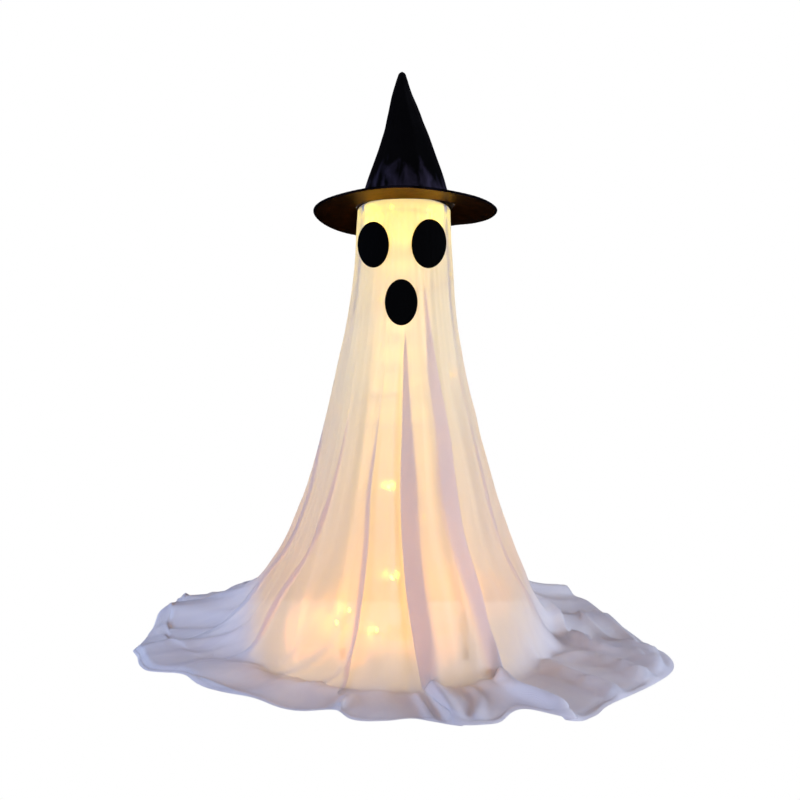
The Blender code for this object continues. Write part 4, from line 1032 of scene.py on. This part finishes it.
        points = round_points(self.axis, azimuth, radius, height)
        lowest, bend = self.floor_gap * 0.4, 0.0008
        points[..., 2] = lowest + np.logaddexp(0, (points[..., 2] - lowest) / bend) * bend
        rows = np.array(self.layered)
        edge, soft = (round_about(tuple(map(tuple, rows[:, [0, k]])), azimuth) for k in (1, 2))
        layers = np.maximum(ease(-1.0, 1.0, (radius - edge) / soft), self.pleated * doubled)
        falls = np.linalg.norm(np.diff(points, axis=0), axis=-1).mean(axis=1)
        down_cut = np.concatenate([[0.0], np.cumsum(falls)])
        fall = round_points(np.zeros(2), rest[None, :] + 0 * azimuth, 0.2, 0.13 * down_cut[:, None])
        self.surface = {"azimuth": azimuth, "height": points[..., 2], "radius": radius}
        self.surface |= {"layers": layers, "fall": fall}
        steps = np.linalg.norm(np.diff(points, axis=1), axis=-1)
        across_cut = np.concatenate([np.zeros((len(points), 1)), np.cumsum(steps, axis=1)], axis=1)
        flow = np.stack([across_cut, down_cut[:, None] + 0 * across_cut], axis=-1)
        return points, flow

    def sweep_paths(self) -> list[Table]:
        """Paths of the folds that turn left as they come down."""
        made = []
        for body, hem, height in self.sweeps:
            turn = hem - body
            made.append(
                (
                    (0.50, body + 2.0, 0.0, 0.008),
                    (0.36, body, 0.3 * height, 0.009),
                    (0.22, body, 0.8 * height, 0.010),
                    (0.12, body + 0.22 * turn, height, 0.011),
                    (0.056, body + 0.5 * turn, height, 0.012),
                    (0.02, body + 0.76 * turn, height, 0.013),
                    (0.0, body + 0.9 * turn, height, 0.013),
                    (-0.10, hem, 0.65 * height, 0.012),
                    (-0.22, hem + 1.0, 0.1 * height, 0.012),
                )
            )
        return made

    def floor_ridges(self, x: Array, y: Array) -> Array:
        """Height that the rolled ridges on the floor add.

        Formula: for each ridge, its height times the bell curve of the distance to its line, rising from
        nothing at the line's start.

        Args:
            x: Place to the right of the stand's axis.
            y: Place behind it.

        Returns:
            The added height.
        """
        total = np.zeros_like(x)
        for ridge in self.floor_folds:
            line = smooth_line(np.array(ridge.points), 24)
            nearest, place, side = np.full_like(x, np.inf), np.zeros_like(x), np.zeros_like(x)
            for k, (start, end) in enumerate(zip(line, line[1:])):
                run = end - start
                from_x, from_y = x - start[0], y - start[1]
                t = np.clip((from_x * run[0] + from_y * run[1]) / (run @ run), 0, 1)
                gap = np.hypot(from_x - run[0] * t, from_y - run[1] * t)
                closer = gap < nearest
                place = np.where(closer, (k + t) / (len(line) - 1), place)
                side = np.where(closer, run[0] * from_y - run[1] * from_x, side)
                nearest = np.minimum(gap, nearest)
            width = np.where(side > 0, ridge.left, ridge.right)
            total += ridge.height * bell(nearest, width) * ease(0.0, 0.28, place)
        return total

    def build(self) -> None:
        points, flow = self.drape()
        rows, columns = points.shape[:2]
        middle = points[0].mean(axis=0)[None, :]
        faces = [grid_faces(rows, columns), fan(rows * columns, 0, columns)]
        cut = np.concatenate([flow.reshape(-1, 2), [[0.0, 0.0]]])
        fall = np.concatenate([self.surface["fall"].reshape(-1, 3), [[0.0, 0.0, 0.0]]])
        marks = {"layers": np.append(self.surface["layers"], 0.0), "fall": fall}
        sheet = new_mesh("ghost_drape", np.concatenate([points.reshape(-1, 3), middle]), faces, cut, marks)
        sheet.data.materials.append(self.finish.build())
        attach(sheet, "figure")
        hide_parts("ghost_cloth")

    def radius_at(self, azimuth: Array, height: Array) -> Array:
        """Radius of the sheet at places on the head and upper body, where it has no pleats.

        Args:
            azimuth: Azimuth of each place.
            height: Height of each place.

        Returns:
            The radius, read between the nearest four points of the sheet.
        """
        rows = slice(self.crown_rows + self.rim_rows, self.crown_rows + self.rim_rows + self.body_rows)
        radius, level = self.surface["radius"][rows], self.surface["height"][rows].mean(axis=1)
        around = self.surface["azimuth"][rows][0]
        order = np.argsort(around)
        grid_azimuth = around[order]
        row = np.interp(-height, -level, np.arange(len(level)))
        low = np.clip(row.astype(int), 0, len(level) - 2)
        part = row - low
        column = np.interp(azimuth, grid_azimuth, np.arange(len(grid_azimuth)))
        left = np.clip(column.astype(int), 0, len(grid_azimuth) - 2)
        across = column - left
        table = radius[:, order]
        upper = table[low, left] * (1 - across) + table[low, left + 1] * across
        lower = table[low + 1, left] * (1 - across) + table[low + 1, left + 1] * across
        return upper * (1 - part) + lower * part


# Face
@dataclass(frozen=True)
class FeltOval:
    """One felt oval: its middle, width, length and lean (degrees) as they are seen from in front."""

    name: str
    across: float
    height: float
    width: float
    length: float
    lean: float


@dataclass
class FeltFace:
    """The eyes and the mouth, felt pieces on the cloth, cut so that they look oval from in front."""

    axis: Array
    cloth: GhostCloth
    seen_from: tuple[float, float] = (-1.583, 0.432)
    ovals: tuple[FeltOval, ...] = (
        FeltOval("left_eye", -0.0632, 0.8275, 0.0640, 0.0942, 0.0),
        FeltOval("right_eye", 0.0507, 0.8296, 0.0715, 0.1008, 3.0),
        FeltOval("mouth", -0.0063, 0.7097, 0.0670, 0.0948, 0.0),
    )
    rings: int = 16
    segments: int = 80
    head_radius: float = 0.097  # where the search for the cloth starts
    gap: float = 0.0005
    thickness: float = 0.0013

    def skin(self, oval: FeltOval, out: float, pull: float) -> Array:
        """One skin of an oval.

        Formula: rings that are shares of the ellipse, in the upright plane through the axis. Each point is
        carried along the line to the place in front until it meets the cloth. The radius found there is put
        back into the line's crossing with a circle four times, which settles it.

        Args:
            oval: The oval to make.
            out: How far the skin stands off the cloth.
            pull: Share of the ellipse that this skin covers.

        Returns:
            The middle point, then the rings.
        """
        share = np.linspace(0, 1, self.rings + 1)[1:, None] * pull
        angle = np.radians(np.arange(self.segments) * 360 / self.segments)[None, :]
        across, up = oval.width / 2 * share * np.cos(angle), oval.length / 2 * share * np.sin(angle)
        tilt = math.radians(oval.lean)
        x = oval.across + np.append(0.0, across * math.cos(tilt) + up * math.sin(tilt))
        z = oval.height + np.append(0.0, up * math.cos(tilt) - across * math.sin(tilt))
        front, eye = self.seen_from
        azimuth, height = np.degrees(x / self.head_radius), z.copy()
        for _ in range(4):
            radius = self.cloth.radius_at(azimuth, height) + out
            a, b, c = x**2 + front**2, -(front**2), front**2 - radius**2
            t = (-b - np.sqrt(np.maximum(b * b - a * c, 0))) / a
            height = eye + t * (z - eye)
            azimuth = np.degrees(np.arctan2(x * t, -front * (1 - t)))
        return round_points(self.axis, azimuth, radius, height)

    def build(self, felt: bpy.types.Material) -> None:
        """Makes each oval as a closed pad: a lower skin, an upper skin and a cut edge between them.

        Args:
            felt: The ovals' material.
        """
        count = 1 + self.rings * self.segments
        last = count - self.segments
        for oval in self.ovals:
            skins = [self.skin(oval, self.gap, 1.0), self.skin(oval, self.gap + self.thickness, 0.985)]
            groups = [
                fan(0, 1, self.segments),
                fan(count, count + 1, self.segments),
                grid_faces(self.rings, self.segments, first=1),
                grid_faces(self.rings, self.segments, first=count + 1),
                band(last, count + last, self.segments),
            ]
            pad = new_mesh(oval.name + "_felt", np.concatenate(skins), groups)
            face_outwards(pad)
            pad.data.materials.append(felt)
            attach(pad, "figure")
            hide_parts(oval.name + "_patch")
            LOG.info("%s: %d faces", pad.name, len(pad.data.polygons))


def face_outwards(obj: bpy.types.Object) -> None:
    """Turns the faces of a closed mesh so that they point outwards."""
    shape = bmesh.new()
    shape.from_mesh(obj.data)
    bmesh.ops.recalc_face_normals(shape, faces=shape.faces)
    shape.to_mesh(obj.data)
    shape.free()


# Hat
@dataclass
class PointedHat:
    """The satin hat: a hollow creased cone, a brim with a stitched edge and the roll over the brim's wire."""

    axis: Array
    foot: float = 0.891
    height: float = 0.2894
    base: float = 0.09985
    wall: float = 0.0013
    tip_radius: float = 0.0006
    brim_radius: float = 0.183
    brim_thickness: float = 0.0018
    brim_gap: float = 0.0003  # between the cone's foot and the brim
    stitching: tuple[float, float] = (0.93, 0.80)  # the rows of stitching, as shares of the brim's width
    stitched: float = 0.0003  # how deep they are
    creased: float = 0.0011  # strength of the cone's creases
    dented: float = 0.0016  # how deep its dent on the left is
    bulged: float = 0.0014  # and how far it bulges on the right
    shift: float = 0.0025  # to the right of the stand's axis
    # azimuth, and how far the brim's edge stands above the hat's foot
    edge_lift: Table = (
        (-180.0, 0.008), (-150.0, -0.003), (-90.0, -0.001), (-60.0, -0.004), (-40.0, -0.006),
        (0.0, -0.006), (40.0, -0.009), (65.0, -0.006), (90.0, 0.002), (110.0, 0.006), (125.0, 0.0105),
        (145.0, 0.0175), (160.0, 0.0160),
    )
    roll: float = 0.0022
    # share of the height, and share of the foot's radius
    profile: Table = (
        (0.0, 1.0), (0.03, 0.965), (0.09, 0.892), (0.225, 0.780), (0.45, 0.562), (0.68, 0.352),
        (0.80, 0.242), (0.90, 0.150), (0.96, 0.095), (0.99, 0.055), (1.0, 0.015),
    )
    # share of the height, and how far the middle line stands to the right
    middle_line: Table = (
        (0.0, 0.0), (0.15, 0.0015), (0.35, 0.002), (0.55, 0.001), (0.7, -0.0035), (0.86, -0.0065),
        (1.0, -0.0065),
    )
    # azimuth, and how far the foot is pushed up by the head
    pushed_up: Table = (
        (-180.0, 0.008), (-90.0, 0.010), (-50.0, 0.004), (0.0, 0.0), (50.0, 0.006), (90.0, 0.016),
        (135.0, 0.014),
    )
    columns: int = 144
    cone_rows: int = 90
    brim_rows: int = 30

    def cone_skin(self, skin: Skin) -> Array:
        """One skin of the cone.

        Formula: the radius follows the profile's curve, plus long creases that run up from the foot and fade
        towards the tip, less a dent on the left and plus a bulge above it on the right. The middle line
        follows its own curve.

        Args:
            skin: The outer or the inner skin.

        Returns:
            The skin's points, with a row for each height and a column for each azimuth.
        """
        share = np.linspace(0, 1, self.cone_rows)[:, None]
        azimuth = full_turn(self.columns)[None, :]
        top = self.height if skin is Skin.OUTER else self.height * 0.965
        radius = self.base * along(self.profile, share) + 0 * azimuth
        fade = ease(0.02, 0.12, share) * (1 - share) ** 0.7
        radius = radius + self.creased * fade * waves(azimuth, 3, range(4, 15), 3.0 * share)
        dent = ease(0.5, 0.62, share) * ease(0.85, 0.70, share) * bell(azimuth + 80, 50)
        bulge = ease(0.62, 0.70, share) * ease(0.85, 0.74, share) * bell(azimuth - 80, 45)
        radius = radius - self.dented * dent + self.bulged * bulge
        if skin is Skin.INNER:
            radius = radius - self.wall
        radius = np.maximum(radius, self.tip_radius)
        foot = self.foot + round_about(self.pushed_up, azimuth) * (1 - share) ** 6
        points = round_points(self.axis, azimuth, radius, foot + top * share)
        points[..., 0] += self.shift + along(self.middle_line, share * top / self.height)
        return points

    def brim_height(self, azimuth: Array, share: Array) -> Array:
        """Height of the brim's underside: pushed up at the head, and bent at its edge.

        Args:
            azimuth: Azimuth of each point.
            share: Share of the way from the head to the edge.

        Returns:
            The height of each point.
        """
        lifted = round_about(self.edge_lift, azimuth) * share**2
        pushed = round_about(self.pushed_up, azimuth) * (1 - share) ** 1.5
        return self.foot + pushed + lifted + 0.0008 * share**2 * waves(azimuth, 8, range(2, 7))

    def build(self) -> None:
        """Makes the cone, the brim and the edge roll, all riding on the hat."""
        # Painted warm glow: the lining's dark satin gets a brown colour and a warm metallic reflection that
        # stand in for the lit head's light on it.
        painted_glow_lining = {"dark": "#1b0f04", "light": "#3a2009", "gloss": 0.0, "painted_reflection_metal": 0.66, "painted_reflection_tint": "#ffe4b8"}
        # The roll's satin keeps faint painted highlight patches, in nearly black colours.
        binding = {"dark": "#040303", "light": "#141216", "gloss": 0.0}
        pieces = (
            (self.build_cone(), "hat_cone", DullSatin()),
            (self.build_brim(), "hat_brim", DullSatin("dark_lining_satin_painted_warm_glow", **painted_glow_lining)),
            (self.build_roll(), "brim_wire", DullSatin("black_satin_on_the_wire", **binding)),
        )
        for obj, node, finish in pieces:
            face_outwards(obj)
            obj.data.materials.append(finish.build())
            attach(obj, "hat")
            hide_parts(node)
            LOG.info("%s: %d faces", obj.name, len(obj.data.polygons))

    def build_cone(self) -> bpy.types.Object:
        """The cone as two skins that meet round the foot, each closed by a point at its tip."""
        skins = [self.cone_skin(skin) for skin in Skin]
        rows, columns = skins[0].shape[:2]
        count, last = rows * columns, (rows - 1) * columns
        tips = np.stack([skin[-1].mean(axis=0) for skin in skins]) + [[0, 0, 0.0004], [0, 0, 0.0002]]
        groups = [
            grid_faces(rows, columns),
            grid_faces(rows, columns, first=count),
            band(0, count, columns),
            fan(2 * count, last, columns),
            fan(2 * count + 1, count + last, columns),
        ]
        points = np.concatenate([*(skin.reshape(-1, 3) for skin in skins), tips])
        return new_mesh("satin_cone", points, groups)

    def build_brim(self) -> bpy.types.Object:
        """The brim as a closed ring of cloth, with shallow rows of stitching pressed in near its edge."""
        share = np.linspace(0, 1, self.brim_rows)[:, None]
        azimuth = full_turn(self.columns)[None, :]
        inside = self.base + self.brim_gap
        radius = inside + (self.brim_radius - inside) * share + 0 * azimuth
        dent = self.stitched * sum(bell(share - row, 0.012) for row in self.stitching)
        low = self.brim_height(azimuth, share)
        skins = [
            round_points(self.axis, azimuth, radius, low + dent),
            round_points(self.axis, azimuth, radius, low + self.brim_thickness - dent),
        ]
        rows, columns = radius.shape
        count, last = rows * columns, (rows - 1) * columns
        groups = [
            grid_faces(rows, columns),
            grid_faces(rows, columns, first=count),
            band(0, count, columns),
            band(last, count + last, columns),
        ]
        points = np.concatenate([skin.reshape(-1, 3) for skin in skins]) + [self.shift, 0, 0]
        return new_mesh("satin_brim", points, groups)

    def build_roll(self) -> bpy.types.Object:
        """The roll of satin over the brim's wire: a ring along the edge with faint gathers."""
        steps, sides, overlap = 360, 12, 0.0004
        azimuth = full_turn(steps)[:, None]
        angle = np.arange(sides)[None, :] * 2 * np.pi / sides
        thick = self.roll + 0.00012 * np.cos(np.radians(azimuth * 90))
        middle = self.brim_height(azimuth, np.ones_like(azimuth)) + self.brim_thickness / 2
        radius = self.brim_radius - overlap + self.roll + thick * np.cos(angle)
        points = round_points(self.axis, azimuth + 0 * angle, radius, middle + thick * np.sin(angle))
        faces = [grid_faces(steps, sides), band((steps - 1) * sides, 0, sides)]
        return new_mesh("edge_roll", points.reshape(-1, 3) + [self.shift, 0, 0], faces)


# Lights inside
@dataclass
class LightString:
    """The lit beads, and the soft warm light that they give inside the cloth.

    The beads that point forward show as bright spots. The light that all of them spread inside the stand
    comes from a column of soft lamps, so that it reaches the cloth evenly.
    """

    axis: Array
    forward: tuple[str, ...] = ("10", "12", "13", "14", "15")
    under_hat: tuple[str, ...] = ("01", "02")
    lamps: int = 14
    span: tuple[float, float] = (0.07, 0.865)
    aside: tuple[float, float] = (-0.006, -0.022)  # the column's place from the axis
    # height, a lamp's watts and size, and the green and blue that go with a full red
    mood: Table = (
        (0.0, 0.66, 0.13, 0.53, 0.01),
        (0.15, 0.24, 0.12, 0.61, 0.04),
        (0.35, 0.154, 0.085, 0.77, 0.15),
        (0.55, 0.140, 0.06, 0.85, 0.24),
        (0.75, 0.100, 0.05, 0.76, 0.18),
        (0.82, 0.115, 0.055, 0.72, 0.02),
        (0.90, 0.330, 0.065, 0.79, 0.0),
    )
    # lamps beside the beads of the base ring and the head: place from the axis, height, then as above
    beside: Table = (
        (-0.110, -0.085, 0.095, 0.09, 0.05, 0.58, 0.03),
        (-0.020, -0.130, 0.080, 0.05, 0.05, 0.58, 0.03),
        (0.095, -0.085, 0.140, 0.06, 0.05, 0.50, 0.05),
        (-0.165, -0.080, 0.060, 0.15, 0.05, 0.44, 0.04),
        (-0.085, -0.160, 0.055, 0.08, 0.045, 0.42, 0.03),
        (0.045, -0.165, 0.055, 0.04, 0.045, 0.42, 0.04),
        (0.150, -0.065, 0.120, 0.03, 0.045, 0.42, 0.03),
        (-0.060, -0.036, 0.872, 0.090, 0.025, 0.84, 0.0),
        (0.060, -0.036, 0.872, 0.090, 0.025, 0.84, 0.0),
    )

    def build(self) -> None:
        """Dresses every bead and sets up the lamps."""
        finishes = {glow: LitResin(*glow.value).build() for glow in Glow}
        names = sorted(name for name in frame["nodes"] if name.startswith("light_bulb"))
        glows = dict.fromkeys(self.forward, Glow.FORWARD) | dict.fromkeys(self.under_hat, Glow.UNDER_HAT)
        for name in names:
            dress(frame["nodes"][name], finishes[glows.get(name[-2:], Glow.AWAY)])
        for height in np.linspace(*self.span, self.lamps):
            mood = [float(along(self.mood, np.array([height]), k)[0]) for k in (1, 2, 3, 4)]
            self.add_lamp((*self.aside, height), *mood)
        for x, y, height, *mood in self.beside:
            self.add_lamp((x, y, height), *mood)
        LOG.info("%d beads and %d lamps", len(names), self.lamps + len(self.beside))

    def add_lamp(self, offset: Place, watts: float, size: float, green: float, blue: float) -> None:
        """One soft lamp inside the cloth, which the camera doesn't see itself.

        Args:
            offset: Its place from the stand's axis on the floor.
            watts: Its power.
            size: Radius over which its light starts.
            green: Green that goes with a full red.
            blue: Blue that goes with a full red.
        """
        data = bpy.data.lights.new("inner_lamp", "POINT")
        data.energy, data.color = watts, (1.0, green, blue)
        data.shadow_soft_size = size
        lamp = bpy.data.objects.new(data.name, data)
        lamp.location = np.array([*self.axis, 0.0]) + offset
        lamp.visible_camera = False
        bpy.context.scene.collection.objects.link(lamp)


# Studio
@dataclass
class Studio:
    """Plain white surroundings, a pale floor, soft cool light and the camera."""

    axis: Array
    ambient: Place = (0.146, 0.127, 0.170)
    half_floor: float = 4.0
    camera_offset: Place = (-0.0082, -1.583, 0.432)
    aim_height: float = 0.45
    horizon_px: float = 438.0
    focal_px: float = 774.0
    image_px: float = 800.0

    def build(self) -> None:
        """Makes the surroundings, the floor, the lights and the camera."""
        self.add_world()
        self.add_floor()
        self.add_softbox("left_softbox", (-2.3, -0.7, 0.5), 0.8, 29.0, "#b4d0ff")
        self.add_softbox("right_softbox", (2.1, -1.0, 0.5), 0.8, 34.5, "#d6e4ff")
        self.add_softbox("front_softbox", (-0.2, -2.6, 0.28), 1.2, 26.5, "#d2cce0")
        self.add_softbox("overhead_softbox", (0.0, 0.4, 2.6), 2.0, 4.5, "#dedcf6")
        self.add_camera()

    def add_world(self) -> None:
        """Surroundings that look white but light the figure dimly, and less still where it mirrors them."""
        scene = bpy.context.scene
        scene.view_settings.view_transform = "Standard"
        world = bpy.data.worlds.new("studio")
        scene.world = world
        world.use_nodes = True
        tree = world.node_tree
        tree.nodes.clear()
        seen = add(tree, "Background", {"Color": (1, 1, 1, 1), "Strength": 1.0})
        lit = add(tree, "Background", {"Color": (*self.ambient, 1), "Strength": 1.0})
        dark = add(tree, "Background", {"Color": (*self.ambient, 1), "Strength": 0.15})
        add(tree, "OutputWorld", {"Surface": by_ray(tree, lit.outputs[0], dark.outputs[0], seen.outputs[0])})

    def add_floor(self) -> None:
        """The stage's floor, which looks white and throws a little light back."""
        corners = np.array([[-1, -1, 0], [1, -1, 0], [1, 1, 0], [-1, 1, 0]], float) * self.half_floor
        floor = new_mesh("studio_floor", corners, [np.array([[0, 1, 2, 3]])])
        material, tree, out = blank("pale_studio_floor")
        paint = add(tree, "BsdfDiffuse", {"Color": linear("#e4e4ec")})
        shown = add(tree, "Emission", {"Color": (1, 1, 1, 1), "Strength": 1.0})
        black = add(tree, "BsdfDiffuse", {"Color": linear("#101012")})
        shader = by_ray(tree, paint.outputs[0], black.outputs[0], shown.outputs[0])
        tree.links.new(shader, out.inputs["Surface"])
        floor.data.materials.append(material)

    def add_softbox(self, name: str, offset: Place, size: float, watts: float, colour: str) -> None:
        """A large square lamp that faces the figure's middle.

        Args:
            name: The lamp's name.
            offset: Its place from the stand's axis on the floor.
            size: Length of its side.
            watts: Its power.
            colour: Its sRGB colour.
        """
        data = bpy.data.lights.new(name, "AREA")
        data.energy, data.size, data.color = watts, size, linear(colour)[:3]
        lamp = bpy.data.objects.new(name, data)
        place = np.array(offset) + [*self.axis, 0]
        towards = np.array([*self.axis, self.aim_height]) - place
        lamp.location = place
        lamp.rotation_mode = "QUATERNION"
        lamp.rotation_quaternion = Vector(towards).to_track_quat("-Z", "Y")
        bpy.context.scene.collection.objects.link(lamp)

    def add_camera(self) -> None:
        """The camera at the photograph's place, level, with the horizon where it falls there."""
        data = bpy.data.cameras.new("camera")
        data.sensor_width = 36.0
        data.lens = data.sensor_width * self.focal_px / self.image_px
        data.shift_y = (self.horizon_px - self.image_px / 2) / self.image_px
        camera = bpy.data.objects.new("camera", data)
        camera.location = np.array(self.camera_offset) + [*self.axis, 0]
        camera.rotation_euler = (math.pi / 2, 0, 0)
        bpy.context.scene.collection.objects.link(camera)
        bpy.context.scene.camera = camera


# Hard pieces
def dress(obj: bpy.types.Object, material: bpy.types.Material) -> None:
    """Puts one material in every slot of a solid."""
    if not obj.material_slots:
        obj.data.materials.append(material)
    for place in obj.material_slots:
        place.material = material


def dress_hard_pieces() -> None:
    """Gives every solid that stays, but for the beads, the finish of its slot in the record."""
    slots = {part["node"]: part["material_slot"] for part in frame["record"]["subparts"]}
    made = {}
    hidden = ("ghost_cloth", "hat_cone", "hat_brim", "brim_wire")
    for name, obj in frame["nodes"].items():
        slot = slots[name]
        if name in hidden or name.endswith("_patch") or slot not in FINISHES:
            continue
        if slot not in made:
            made[slot] = FINISHES[slot].build()
        dress(obj, made[slot])
        LOG.info("%s: %s", name, made[slot].name)


def stand_axis() -> Array:
    """The middle of the head ring, where the stand's axis is."""
    low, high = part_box("head_ring")
    return np.array([(low[0] + high[0]) / 2, (low[1] + high[1]) / 2])


def main() -> None:
    """Builds the figure and the studio."""
    logging.basicConfig(level=logging.INFO, format="%(message)s")
    axis = stand_axis()
    Studio(axis).build()
    cloth = GhostCloth(axis)
    cloth.build()
    FeltFace(axis, cloth).build(FINISHES["felt"].build())
    PointedHat(axis).build()
    LightString(axis).build()
    dress_hard_pieces()


if __name__ == "__main__":
    main()
